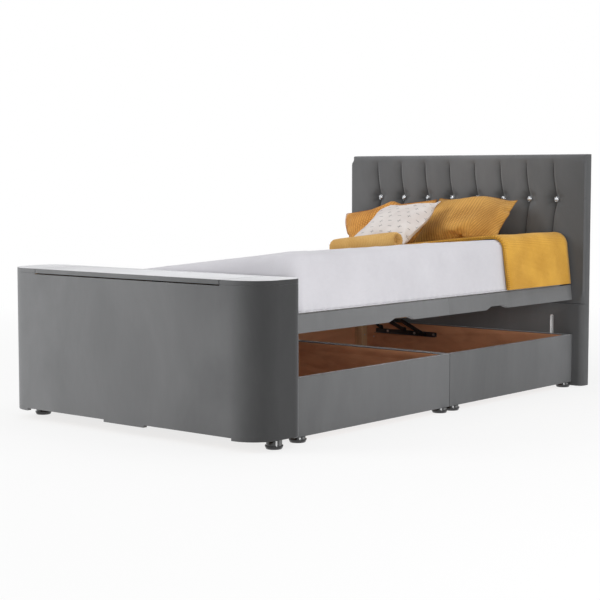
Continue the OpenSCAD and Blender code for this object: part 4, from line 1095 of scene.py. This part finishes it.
mustard_rib = knit_material("mustard_rib", (0.4, 0.14, 0.016), (0.82, 0.4, 0.085),
                            0.015, 0.0075, 0.0022, lean=0.0)
mustard_weave = knit_material("mustard_weave", (0.34, 0.15, 0.025), (0.78, 0.43, 0.105),
                              0.015, 0.0055, 0.002, lean=1.6)


def flap(u, v):
    """The overlap of the near cushion's cover, which closes it."""
    edge = 0.36 + 0.03 * math.sin(v * 2.2)
    step = 1 / (1 + math.exp(-(u - edge) / 0.006))
    return 0.0019 * step * (1 - 0.4 * step) * (1 if abs(v) < 0.97 else 0.3)


def ramp(value, low, high):
    """A smooth rise from 0 to 1 between two values."""
    t = max(0.0, min(1.0, (value - low) / (high - low)))
    return t * t * (3 - 2 * t)


def near_outline(u, v, half_u, half_v):
    """The near cushion's filling has slipped: its right side is shorter and its corner droops."""
    u = (u + 1) * 0.925 - 1
    drop = 0.4 * ramp(u, 0.15, 0.88) if v > 0 else 0.05 * ramp(u, 0.5, 0.88)
    drop += 0.17 * max(0.0, 1 - u * u) if v > 0 else 0.0
    return u * half_u, v * (1 - drop) * half_v


def far_outline(u, v, half_u, half_v):
    """The far cushion stands taller at its back edge, and its left end is tucked in below."""
    low = 0.42 * ramp(-v, -0.9, 0.8) if u < 0 else 0.0
    tall = 1.09 + 0.08 * max(0.0, 1 - u * u) if v > 0 else 1 - 0.2 * ramp(-u, 0.0, 1.0)
    return u * (1 - low) * half_u, v * tall * half_v


def square_outline(u, v, half_u, half_v):
    """The square cushion narrows toward its upper corners, and one of them is tucked down."""
    high = ramp(v, -0.1, 1.0)
    tuck = 0.08 * ramp(-u, 0.25, 1.0) + 0.27 * max(0.0, 1 - u * u) if v > 0 else 0.0
    return u * (1 - (0.27 if u > 0 else 0.07) * high) * half_u, v * (1 - tuck) * half_v


far_place, far_u, far_v = stuffed("far_long_cushion", "far_cushion", mustard_rib,
                                  bias_from=2.0, outline=far_outline)
stuffed("near_long_cushion", "near_cushion", mustard_weave, front=flap,
        bias_from=0.37, outline=near_outline)


def corner_fringe():
    """Short ends of yarn at the far cushion's lower right corner."""
    strands = []
    for k in range(16):
        turn = -0.9 + 1.8 * k / 15
        length = 0.014 + 0.004 * fold_noise(k * 1.7, 0.3)
        start = Vector((far_u - 0.002 - 0.003 * abs(turn), -far_v + 0.004 + 0.002 * k / 15,
                        0.0015 * math.sin(k * 2.1)))
        way = Vector((math.cos(turn * 0.6 - 0.35), math.sin(turn * 0.6 - 0.5),
                      0.25 * math.sin(k * 1.3)))
        points = [start + way * length * t + Vector((0, 0, -0.003 * t * t))
                  for t in (0, 0.35, 0.7, 1)]
        strands.append(tube_along("strand", points, 0.0007, mustard_rib, sides=5,
                                  place_at=far_place))
    return joined("far_cushion_fringe", strands)


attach(corner_fringe(), "platform")


# The square cushion's print: small crosses and short dashes in staggered
# rows, in worn grey ink on off-white cotton.

print_row = 0.034
print_column = 0.052


def marks_group():
    """Staggered rows of small crosses and short dashes, worn thin in places."""
    tree, given, tie = new_group("printed_marks", [("Cloth", "Vector", None)], [("Mark", "Float")])
    axes = add(tree, "SeparateXYZ", {0: given.outputs["Cloth"]})
    row = calc(tree, "DIVIDE", axes.outputs[1], print_row)
    odd = calc(tree, "MODULO", calc(tree, "FLOOR", row), 2.0)
    along = calc(tree, "DIVIDE", axes.outputs[0], print_column)
    column = calc(tree, "MULTIPLY_ADD", odd, 0.5, along)
    cross = calc(tree, "GREATER_THAN", calc(tree, "MODULO", calc(tree, "FLOOR", column), 2.0), 0.5)

    def from_middle(place_in, width):
        off = calc(tree, "SUBTRACT", calc(tree, "FRACT", place_in), 0.5)
        return calc(tree, "MULTIPLY", calc(tree, "ABSOLUTE", off), width)

    def bar(half_x, half_y):
        return calc(tree, "MULTIPLY", calc(tree, "LESS_THAN", x, half_x),
                    calc(tree, "LESS_THAN", y, half_y))

    x, y = from_middle(column, print_column), from_middle(row, print_row)
    upright = calc(tree, "MULTIPLY", bar(0.0016, 0.009), cross)
    marks = calc(tree, "MAXIMUM", bar(0.0098, 0.0016), upright)
    worn = mottle(tree, given.outputs["Cloth"], 160.0, 3.0)
    tie("Mark", calc(tree, "MULTIPLY", marks, ranged(tree, worn, 0.3, 0.55)))
    return tree


def print_material():
    """Off-white cotton with the marks on it."""
    material, tree, shader = new_material("printed_cotton", Roughness=0.86, Sheen_Weight=0.15,
                                          Sheen_Roughness=0.5, Specular_IOR_Level=0.25)
    cloth = add(tree, "UVMap", uv_map="cut").outputs[0]
    thread = place(tree, weave, {"Cloth": cloth, "Threads": 2600.0}).outputs["Thread"]
    soft = ranged(tree, mottle(tree, object_space(tree), 11.0, 4.0), 0.35, 0.65)
    base = colour_between(tree, soft, (0.62, 0.565, 0.54), (0.7, 0.655, 0.63))
    mark = place(tree, marks_group(), {"Cloth": cloth}).outputs["Mark"]
    link_in(tree, shader, Base_Color=mixed(tree, mark, base, (0.2, 0.19, 0.19, 1)),
            Normal=bump_of(tree, thread, 0.0002, 0.6))
    return material


stuffed("square_print_cushion", "patterned_cushion", print_material(),
        outline=square_outline)


# The roll cushion: a bolster cover sewn to two round ends, each drawn together
# in pleats under a covered button. It lies on the sheet and is a little flat below.

roll_low, roll_high = tilted_box("roll_cushion")
roll_mid = (roll_low + roll_high) / 2
roll_place = bed_turn @ Matrix.Translation(roll_mid)
roll_r = (roll_high.z - roll_low.z) / 2
roll_half = (roll_high.x - roll_low.x) / 2
roll_shift = 0.008
roll_cloth = knit_material("pale_mustard_weave", (0.5, 0.27, 0.07), (0.74, 0.47, 0.17),
                           0.009, 0.0048, 0.0006, lean=1.6)


def roll_rows():
    """Rings from the middle of one end to the middle of the other."""
    half = [(0.0, 0.985), (0.15, 0.985), (0.3, 0.99), (0.45, 0.995), (0.6, 0.99), (0.72, 0.985),
            (0.82, 0.97), (0.89, 0.95), (0.94, 0.915), (0.968, 0.87), (0.985, 0.82), (0.995, 0.76),
            (0.995, 0.69), (0.985, 0.6), (0.965, 0.5), (0.94, 0.41), (0.91, 0.34), (0.88, 0.3),
            (0.862, 0.22)]
    rows, n = [], 108
    for share, r in [(-share, r) for share, r in reversed(half[1:])] + half:
        row = []
        pleat = max(0.0, 1 - abs(r - 0.6) / 0.36)
        for i in range(n):
            a = 2 * math.pi * i / n
            c, s = math.cos(a), math.sin(a)
            fold = math.sin(13 * a + 2.4 * fold_noise(c * 1.3, s * 1.3, share * 2)) * pleat
            radius = roll_r * r * (1 - 0.085 * fold) + 0.0012 * fold_noise(c * 2, s * 2, share * 4)
            lying = (max(radius * s, -roll_r * 0.975) + roll_r) * 0.86 - roll_r
            tuck = math.copysign(0.0036 * fold, share) if abs(share) > 0.8 else 0.0
            row.append(Vector((share * roll_half * 0.94 + roll_shift - tuck, -radius * c, lying)))
        rows.append(row)
    return rows


def with_cut(piece):
    """Adds the roll's own measure to its mesh, round and along."""
    mesh = piece.data
    layer = mesh.uv_layers.new(name="cut")
    back = roll_place.inverted()
    for face in mesh.polygons:
        spots = [back @ mesh.vertices[i].co for i in face.vertices]
        angles = [math.atan2(p.z, -p.y) for p in spots]
        if max(angles) - min(angles) > math.pi:
            angles = [a + 2 * math.pi if a < 0 else a for a in angles]
        for loop, a, p in zip(face.loop_indices, angles, spots):
            run = p.x + math.copysign(max(0.0, roll_r - math.hypot(p.y, p.z)), p.x)
            layer.data[loop].uv = (a * roll_r, run + roll_half)


roll_piece = skin("roll_cover", roll_rows(), roll_cloth, roll_place, across_closed=True,
                  caps="first last")
with_cut(roll_piece)
settle(roll_piece, "roll_cushion")
button_rings = [(0.0, 0.0125), (0.0022, 0.0132), (0.0044, 0.0118), (0.006, 0.008), (0.0066, 0.003)]
end_buttons = joined("roll_end_buttons", [
    turned("button", button_rings, 28, roll_cloth,
           (side * roll_half * 0.81 + roll_shift, 0, -roll_r * 0.14), (side, 0, 0))
    for side in (-1, 1)])
end_buttons.data.transform(roll_place)
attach(end_buttons, "platform")


# The headboard padding: foam under grey velvet in two pads. The tall upper pad
# is drawn in along eight stitched channels, each held at mid height by a
# button, and the plain pad below shows only above the mattress's far end.

pad_low, pad_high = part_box("channel_padding")
face_y, back_y = pad_low.y, pad_high.y
channels = 8
channel_gap = 0.1395
# Channels run this far left of even spacing, and come back to it at their buttons
channel_left = 0.005
button_z = 0.829
bow = 0.012
groove_d = 0.013
dimple_d = 0.0168
dimple_r = 0.058
# Painted shade: darker toward the headboard's +x end, with painted shade and highlight beside its
# grooves.
velvet_head = velvet_material("grey_velvet_headboard_painted_shade", (0.118, 0.12, 0.122), (0.15, 0.152, 0.155),
                              painted_shade_across=[(-0.7, 1.02), (0.3, 1.0), (0.68, 0.66)], painted_groove_shade=True)


def groove_at(k, z):
    """Where channel k runs at a height: it bends toward its button."""
    bend = math.exp(-((z - button_z) / 0.08) ** 2)
    return (k - (channels - 1) / 2) * channel_gap - channel_left + (bow + channel_left) * bend


def rounded_in(distance, radius, share=1.0):
    """How far a padded face falls back near its edge."""
    if distance >= radius:
        return 0.0
    return share * (radius - math.sqrt(max(0.0, radius * radius - (radius - distance) ** 2)))


def pad_depth(x, z, k):
    """How far the upper pad's face lies behind its fullest plane."""
    d = x - groove_at(k, z)
    run = ramp(z, pad_low.z + 0.014, pad_low.z + 0.078) \
        * (1 - ramp(z, pad_high.z - 0.046, pad_high.z - 0.016))
    if d < 0:
        soft = 0.6 * math.exp(-(d / 0.03) ** 2) + 0.4 * math.exp(d / 0.006)
    else:
        soft = 0.3 * math.exp(-(d / 0.018) ** 2) + 0.7 * math.exp(-d / 0.004)
    pillow = 0.0011 * (abs(d) / (channel_gap / 2)) ** 4
    depth = groove_d * run * soft + 0.0012 - pillow * run
    r = math.hypot(d, z - button_z)
    if r < dimple_r:
        depth = max(depth, 0.0) + (dimple_d - depth) * (1 - ramp(r, 0.0128, dimple_r)) ** 1.7
    ring = math.exp(-((r - 0.03) / 0.014) ** 2)
    rays = math.sin(math.atan2(z - button_z, d) * 7 + 1.7 * k) * ring
    depth += 0.0013 * rays + 0.0011 * fold_noise(x * 8, z * 6, 0.5 * k)
    depth += 0.0005 * fold_noise(x * 30, z * 22, 7.0)
    depth += rounded_in(min(pad_high.x - abs(x), pad_high.z - z), 0.022, 0.92)
    depth += rounded_in(z - pad_low.z, 0.012, 0.75)
    return max(0.0, min(depth, back_y - face_y - 0.004))


def fine_steps(low, high, spots, near, step):
    """Places from low to high, close together near the spots."""
    n = max(1, round((high - low) / step))
    places = {low + (high - low) * i / n for i in range(n + 1)}
    places |= {s + d for s in spots for away in near for d in (-away, away) if low < s + d < high}
    ordered = sorted({round(p, 5) for p in places})
    kept = [ordered[0]]
    for p in ordered[1:]:
        if p - kept[-1] > 0.0007 or p == ordered[-1]:
            kept.append(p)
    return kept


def upper_pad():
    """The channelled face with its sides, as one closed skin."""
    near = (0, 0.004, 0.008, 0.0125, 0.015, 0.018, 0.022, 0.027, 0.033, 0.04, 0.05)
    heights = fine_steps(pad_low.z, pad_high.z, [button_z], near, 0.0085)
    heights = sorted(set(heights + [pad_low.z + d for d in (0.001, 0.003, 0.006)]
                         + [pad_high.z - d for d in (0.001, 0.003, 0.006, 0.01, 0.015)]))
    middle = [groove_at(k, 0) for k in range(channels)]
    near = (0, 0.0011, 0.0026, 0.0045, 0.0075, 0.0115, 0.0145, 0.018, 0.023, 0.029, 0.036, 0.044)
    across = fine_steps(pad_low.x, pad_high.x, middle, near, 0.012)
    across = sorted(set(across + [pad_low.x + d for d in (0.001, 0.003, 0.006, 0.01)]
                        + [pad_high.x - d for d in (0.001, 0.003, 0.006, 0.01)]))
    rows = []
    for z in heights:
        row = []
        for b in across:
            k = min(range(channels), key=lambda i: abs(b - middle[i]))
            share = max(0.0, 1 - abs(b - middle[k]) / (channel_gap / 2))
            x = b + (groove_at(k, z) - middle[k]) * ramp(share, 0.0, 0.45)
            row.append(Vector((x, face_y + pad_depth(x, z, k), z)))
        rows.append([Vector((row[0].x, back_y, z))] + row + [Vector((row[-1].x, back_y, z))])
    return rows


def edge_wrap(low_z, over_top):
    """Rows of the velvet drawn round the board's edges to its back."""
    half, top, out = pad_high.x, pad_high.z, 0.0011
    high_z = top if over_top else pad_low.z
    front, rear = back_y - 0.004, back_y + 0.0318
    n, n_top = 60, 100
    path = [(Vector((half, 0, low_z + (high_z - low_z) * i / n)), Vector((1, 0, 0)))
            for i in range(n + 1)]
    if over_top:
        path[-1] = (Vector((half, 0, top)), Vector((0.7, 0, 0.7)))
        path += [(Vector((half - 2 * half * i / n_top, 0, top)), Vector((0, 0, 1)))
                 for i in range(1, n_top)]
        path.append((Vector((-half, 0, top)), Vector((-0.7, 0, 0.7))))
        path += [(Vector((-half, 0, top - (top - low_z) * i / n)), Vector((-1, 0, 0)))
                 for i in range(1, n + 1)]
    rows = []
    for y, lift in [(front, -0.0012), (front + 0.001, 0.0), (front + 0.008, 0.6),
                    (back_y + 0.014, 1.0), (rear - 0.004, 0.8), (rear, 0.35),
                    (rear + 0.0004, -3.0)]:
        rows.append([p + way * (out * lift + 0.0003 * fold_noise(p.x * 20, p.z * 20, y * 40))
                     + Vector((0, y, 0)) for p, way in path])
    return rows


def wraps():
    """The wrap of the upper pad, then the two of the lower one."""
    upper_wrap = skin("upper_wrap", edge_wrap(pad_low.z, True), velvet_head)
    lower_wrap = skin("lower_wrap", edge_wrap(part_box("lower_padding")[0].z, False), velvet_head)
    mirror = lower_wrap.data.copy()
    mirror.transform(Matrix.Scale(-1, 4, (1, 0, 0)))
    mirror.flip_normals()
    lower = [lower_wrap, shown("lower_wrap_2", mirror, velvet_head)]
    for piece in [upper_wrap] + lower:
        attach(thickened(piece, 0.0009), "base")


def painted_light_beside_grooves(x, z):
    """Painted shade and highlight beside the channels: darker on their left and round the left of
    each button, with a painted highlight line on their right, as the light falls from the left."""
    k = min(range(channels), key=lambda i: abs(x - groove_at(i, z)))
    d = x - groove_at(k, z)
    r = math.hypot(d, z - button_z)
    run = ramp(z, pad_low.z + 0.02, pad_low.z + 0.1) \
        * (1 - ramp(z, pad_high.z - 0.07, pad_high.z - 0.02))
    if d < 0:
        beside = -0.4 * math.exp(d / 0.011) - 0.16 * math.exp(d / 0.034)
    else:
        beside = -0.4 * math.exp(-d / 0.0018)
    if d > 0:
        bright = 0.34 * math.exp(-((d - 0.0072) / 0.0042) ** 2)
        beside += bright * (1 if z > button_z else 0.55)
    painted_button_shade = -0.42 * math.exp(-((r - 0.014) / 0.03) ** 2) * (0.5 - 0.5 * d / max(r, 0.001))
    return run * beside + painted_button_shade


upper = skin("channelled_padding", upper_pad(), velvet_head, across_closed=True, caps="first last")
settle(upper, "channel_padding")
# Painted shade and highlight for the velvet beside the grooves, kept per point on the pad.
painted_groove_light = upper.data.attributes.new("painted_groove_light", "FLOAT", "POINT")
for vertex in upper.data.vertices:
    painted_groove_light.data[vertex.index].value = max(-0.6, painted_light_beside_grooves(vertex.co.x, vertex.co.z))
# A lighter copy of the grey velvet: painted light that lifts the lower pad out of the platform's
# shade, with painted shade again toward its +x end.
velvet_low = velvet_material("grey_velvet_lower_pad", (0.17, 0.172, 0.175), (0.208, 0.21, 0.214),
                             painted_shade_across=[(-0.7, 1.1), (0.43, 1.0), (0.62, 0.46)])
lower = eased("plain_padding", "lower_padding", 0.009, velvet_low, steps=4)
wraps()


# The headboard's other parts: a plywood panel, a black cloth stapled over its
# back, black pads under it and long bolts through it into the head box.

def back_cloth_material():
    """Thin black spun cloth with a fine embossed grid."""
    material, tree, shader = new_material("black_back_cloth", Roughness=0.9, Specular_IOR_Level=0.2)
    where = object_space(tree)
    upright = add(tree, "Mapping", {"Vector": where, "Rotation": (math.pi / 2, 0, 0)}).outputs[0]
    grid = place(tree, weave, {"Cloth": upright, "Threads": 1800.0}).outputs["Thread"]
    shade = calc(tree, "MULTIPLY_ADD", grid, 0.5, mottle(tree, where, 14.0, 5.0))
    link_in(tree, shader, Normal=bump_of(tree, grid, 0.0002, 0.7),
            Base_Color=colour_between(tree, shade, (0.01, 0.01, 0.011), (0.034, 0.034, 0.036)))
    return material


eased("headboard_board", "headboard_panel", 0.0008, plywood)
eased("headboard_dust_cloth", "headboard_back_cloth", 0.0003, back_cloth_material())
eased("headboard_feet_pads", "headboard_pads", 0.0008, case_plastic)
eased("headboard_fixing_bolts", "headboard_bolts", 0.0006, zinc)


def staples():
    """Wire staples that hold the cloth round the headboard's back."""
    low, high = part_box("headboard_back_cloth")
    inset, across, upright = 0.012, Vector((0.005, 0, 0)), Vector((0, 0, 0.005))
    spots = [(low.x + inset + i * (high.x - low.x - 2 * inset) / 22, z, across)
             for i in range(23) for z in (low.z + inset, high.z - inset)]
    spots += [(x, low.z + inset + i * (high.z - low.z - 2 * inset) / 17, upright)
              for i in range(1, 17) for x in (low.x + inset, high.x - inset)]
    deep, shallow = Vector((0, high.y - 0.0006, 0)), Vector((0, high.y + 0.0003, 0))
    parts = []
    for x, z, half in spots:
        a, b = Vector((x, 0, z)) - half, Vector((x, 0, z)) + half
        points = [a + deep, a.lerp(b, 0.08) + shallow, a.lerp(b, 0.92) + shallow, b + deep]
        parts.append(tube_along("staple", points, 0.0004, zinc, sides=5))
    return joined("back_cloth_staples", parts)


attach(staples(), "base")


# The buttons: a faceted clear crystal in a polished metal cup, drawn into the
# foam at every channel by a cord through the board.

gem_low, gem_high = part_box("button_crystals")
chrome = metal_material("polished_chrome", (0.72, 0.73, 0.75), 0.12, spread=0.04)
eased("button_settings", "button_cups", 0.0005, chrome)


def crystal_material():
    """Clear cut glass, silvered behind."""
    material, tree, shader = new_material("cut_crystal", IOR=1.6, Specular_IOR_Level=0.9,
                                          Coat_Weight=1.0)
    flake = add(tree, "TexVoronoi", {"Vector": object_space(tree), "Scale": 420.0})
    tone = add(tree, "SeparateColor", {0: flake.outputs["Color"]}).outputs[0]
    shade = colour_between(tree, tone, (0.3, 0.32, 0.35), (0.93, 0.95, 0.98))
    link_in(tree, shader, Base_Color=shade, Roughness=ranged(tree, tone, 0.0, 1.0, 0.02, 0.12),
            Metallic=ranged(tree, tone, 0.0, 1.0, 0.5, 0.95))
    return material


def cut_stones():
    """Stones with a flat table, and two rings of facets round it."""
    form = bmesh.new()
    radius = (gem_high.z - gem_low.z) / 2
    depth = gem_high.y - gem_low.y
    for k in range(channels):
        centre = Vector((groove_at(k, button_z), gem_high.y, button_z))
        rings = [[form.verts.new(centre + Vector((x, -depth * rise, z)))
                  for x, z in circle(radius * share, 12, turn)]
                 for share, rise, turn in [(1.0, 0.0, 0.0), (0.985, 0.42, 0.0), (0.8, 0.74, 0.5),
                                           (0.47, 1.0, 0.0)]]
        girdle, crown_low, crown_high, table = rings
        band(form, girdle, crown_low)
        for i in range(12):
            j = (i + 1) % 12
            form.faces.new((crown_low[i], crown_low[j], crown_high[i]))
            form.faces.new((crown_low[j], crown_high[j], crown_high[i]))
        for i in range(12):
            j = (i + 1) % 12
            form.faces.new((crown_high[i], table[j], table[i]))
            form.faces.new((crown_high[i], crown_high[j], table[j]))
        form.faces.new(list(reversed(girdle)))
        form.faces.new(table)
    bmesh.ops.recalc_face_normals(form, faces=form.faces)
    piece = settle(built("cut_stones", form, crystal_material()), "button_crystals")
    piece.data.polygons.foreach_set("use_smooth", [False] * len(piece.data.polygons))


cut_stones()


# White plastic liners in the two upright slots, for the fixing bolts to slide
# in. Each is a thin loop with a narrow flange on the face of the padding.

def slot_liners():
    """Two thin loops, round at the ends."""
    slot_at, slot_half, wall, flange = 0.491, 0.0083, 0.0011, 0.0035
    low_z, high_z = 0.0626, 0.3042
    front, rear = face_y + 0.0004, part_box("headboard_panel")[1].y - 0.0005
    section = [(front + wall, slot_half), (rear, slot_half), (rear, slot_half - wall),
               (front, slot_half - wall), (front - 0.0003, slot_half + flange * 0.6),
               (front + 0.0004, slot_half + flange), (front + wall, slot_half + flange)]
    form = bmesh.new()
    for side in (-1, 1):
        loops = []
        for y, r in section:
            loop = []
            for middle, start in ((high_z, 0.0), (low_z, math.pi)):
                for k in range(16):
                    a = start + math.pi * k / 15
                    loop.append(form.verts.new((side * slot_at + r * math.cos(a), y,
                                                middle + r * math.sin(a))))
            loops.append(loop)
        for here, there in zip(loops, loops[1:] + loops[:1]):
            band(form, here, there)
    bmesh.ops.recalc_face_normals(form, faces=form.faces)
    white_plastic = plastic_material("white_slot_plastic", (0.86, 0.86, 0.86), 0.4)
    return built("slot_liners", form, white_plastic)


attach(slot_liners(), "base")


# The foot panel that hides the screen: a hollow box of board with rounded
# ends, bent skins over its formers and a floor for the lift, all covered in
# velvet. A lid in its top rises with the screen.

board_edge = 0.0008
eased_all([("foot_formers", "panel_formers"), ("foot_well_floor", "panel_floor"),
           ("foot_dividers", "panel_dividers")], board_edge, plywood, steps=1)
# A lighter copy of the grey velvet with painted shade: lightest at the panel's left end, darker to
# the right and darkest round its near end, as light falls on it.
velvet_foot_lit_copy = velvet_material("grey_velvet_foot", (0.165, 0.167, 0.17), (0.2, 0.202, 0.205),
                              painted_shade_across=[(-0.6, 1.25), (0.5, 0.8), (0.64, 0.25)])
wrap_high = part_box("panel_front_board")[0].z + 0.03
for name, node in [("foot_front_board", "panel_front_board"),
                   ("foot_rear_board", "panel_rear_board"),
                   ("foot_bent_skins", "panel_end_skins")]:
    turned_under(eased(name, node, board_edge, plywood, steps=1), velvet_foot_lit_copy,
                 lambda way, at: abs(way.z) > 0.2 or at.z < wrap_high)
for name, node in [("foot_top_board", "panel_top_board"), ("lid_plywood", "lid_board")]:
    turned_under(eased(name, node, board_edge, plywood, steps=1), velvet_foot_lit_copy,
                 lambda way, at: abs(way.z) < 0.8)
eased("foot_panel_velvet", "panel_cover", 0.003, velvet_foot_lit_copy, steps=3, sharp=50)
# Near-white copy of the grey velvet for upper faces: a painted highlight for the sheen seen on the
# tops.
velvet_painted_top_highlight = velvet_material("painted_highlight_velvet_top", (0.62, 0.62, 0.63), (0.72, 0.72, 0.73))


def painted_highlight_above(piece):
    """Paints the upper face of a piece near white, a painted highlight of the grey velvet's sheen,
    and leaves its sides grey.
    """
    piece.data.materials.append(velvet_painted_top_highlight)
    for face in piece.data.polygons:
        if face.normal.z > 0.8:
            face.material_index = 1


painted_highlight_above(eased("foot_top_velvet", "panel_top_cover", 0.0026, velvet_foot_lit_copy, steps=3, sharp=50))
painted_highlight_above(eased("lid_velvet_cover", "lid_cover", 0.0026, velvet_foot_lit_copy, steps=3))
eased("foot_panel_bolts", "panel_bolts", 0.0006, zinc)


# The screen lift: an electric column of three nested steel tubes on a foot
# plate, driven by a motor at its side, with a carriage and a plate for the
# screen. Its control box is screwed to the panel's rear board.

tube_steel = metal_material("grey_tube_steel", (0.33, 0.34, 0.35), 0.36, spread=0.06)
eased_all([("lift_foot_plate", "lift_foot"), ("lift_carriage_frame", "lift_carriage"),
           ("screen_mount_plate", "screen_plate")], 0.0007, black_steel)
eased_all([("outer_column", "lift_outer_tube"), ("middle_column", "lift_middle_tube"),
           ("inner_column", "lift_inner_tube")], 0.0006, tube_steel)
eased("lift_motor_housing", "lift_motor", 0.0015, case_plastic, steps=3)
eased("lift_control_case", "control_box", 0.004, case_plastic, steps=4)


def case_ribs():
    """Upright cooling ribs on the control box."""
    low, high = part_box("control_box")
    front = low.y - 0.0002
    parts = []
    for i in range(9):
        x = low.x + 0.03 + 0.0075 * i
        points = [Vector((x, front, low.z + 0.022)), Vector((x, front, high.z - 0.022))]
        parts.append(tube_along("slot_rib", points, 0.0012, case_plastic, sides=8))
    return joined("case_ribs", parts)


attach(case_ribs(), "base")


# The room: a plain pale floor and surround, soft lamps overhead and to the
# front left, and the camera where the photograph was taken from, low beyond
# the foot of the bed on its opening side.

def seen_directly(tree):
    """1 where the camera, a reflection or a clear material looks at a surface."""
    ray = add(tree, "LightPath").outputs
    gloss = calc(tree, "MAXIMUM", ray["Is Camera Ray"], ray["Is Glossy Ray"])
    return calc(tree, "MAXIMUM", gloss, ray["Is Transmission Ray"])


def pale_floor():
    """A wide floor that is seen as white, with the bed's soft shadow on it."""
    half = 60.0
    mesh = bpy.data.meshes.new("floor")
    mesh.from_pydata([(-half, -half, 0), (half, -half, 0), (half, half, 0), (-half, half, 0)], [],
                     [(0, 1, 2, 3)])
    material, tree, shader = new_material("floor_paint", Roughness=0.9, Specular_IOR_Level=0.1)
    shader.inputs["Base Color"].default_value = (0.86, 0.86, 0.86, 1)
    away = add(tree, "VectorMath", {0: object_space(tree)}, operation="LENGTH").outputs["Value"]
    share = calc(tree, "MULTIPLY", ranged(tree, away, 1.6, 5.0, 0.78, 1.0), seen_directly(tree))
    white = add(tree, "Emission", {"Color": (1, 1, 1, 1), "Strength": 1.0})
    both = add(tree, "MixShader", {0: share, 1: shader.outputs[0], 2: white.outputs[0]})
    tree.links.new(both.outputs[0], tree.nodes["Material Output"].inputs["Surface"])
    floor = bpy.data.objects.new("floor", mesh)
    mesh.materials.append(material)
    bpy.context.scene.collection.objects.link(floor)


def surround(strength, seen):
    """Even light from all round, white where the camera or a reflection sees it."""
    world = bpy.data.worlds.new("surround")
    bpy.context.scene.world = world
    world.use_nodes = True
    tree = world.node_tree
    tree.nodes.clear()
    level = add(tree, "Mix", {0: seen_directly(tree), 2: strength, 3: seen}, data_type="FLOAT")
    light = add(tree, "Background", {"Color": (1, 1, 1, 1), "Strength": level.outputs[0]})
    out = add(tree, "OutputWorld")
    tree.links.new(light.outputs[0], out.inputs["Surface"])


def lamp(name, at, toward, size, power):
    """A soft square lamp that faces a point."""
    data = bpy.data.lights.new(name, "AREA")
    data.shape = "SQUARE"
    data.size = size
    data.energy = power
    piece = bpy.data.objects.new(name, data)
    piece.location = at
    piece.rotation_euler = (Vector(toward) - Vector(at)).to_track_quat("-Z", "Y").to_euler()
    piece.visible_camera = False
    bpy.context.scene.collection.objects.link(piece)


pale_floor()
surround(0.5, 1.0)
lamp("key_lamp", (-3.6, -4.6, 3.4), (-0.3, -1.0, 0.4), 3.0, 150)
lamp("top_lamp", (0.4, 0.4, 4.6), (0, 0.1, 0.3), 3.8, 60)
lamp("side_lamp", (3.3, 1.9, 1.35), (0.2, 0.35, 0.35), 2.2, 20)
lamp("low_lamp", (4.3, -1.9, 0.95), (0.0, 0.4, 0.25), 1.6, 66)

camera = bpy.data.objects.new("camera", bpy.data.cameras.new("camera"))
camera.location = (3.996, -4.9176, 0.940)
camera.rotation_euler = (math.radians(85.3), 0, math.radians(39.8))
camera.data.lens = 91.8
camera.data.sensor_width = 36
camera.data.clip_end = 200
bpy.context.scene.collection.objects.link(camera)
bpy.context.scene.camera = camera
bpy.context.scene.view_settings.view_transform = "Standard"
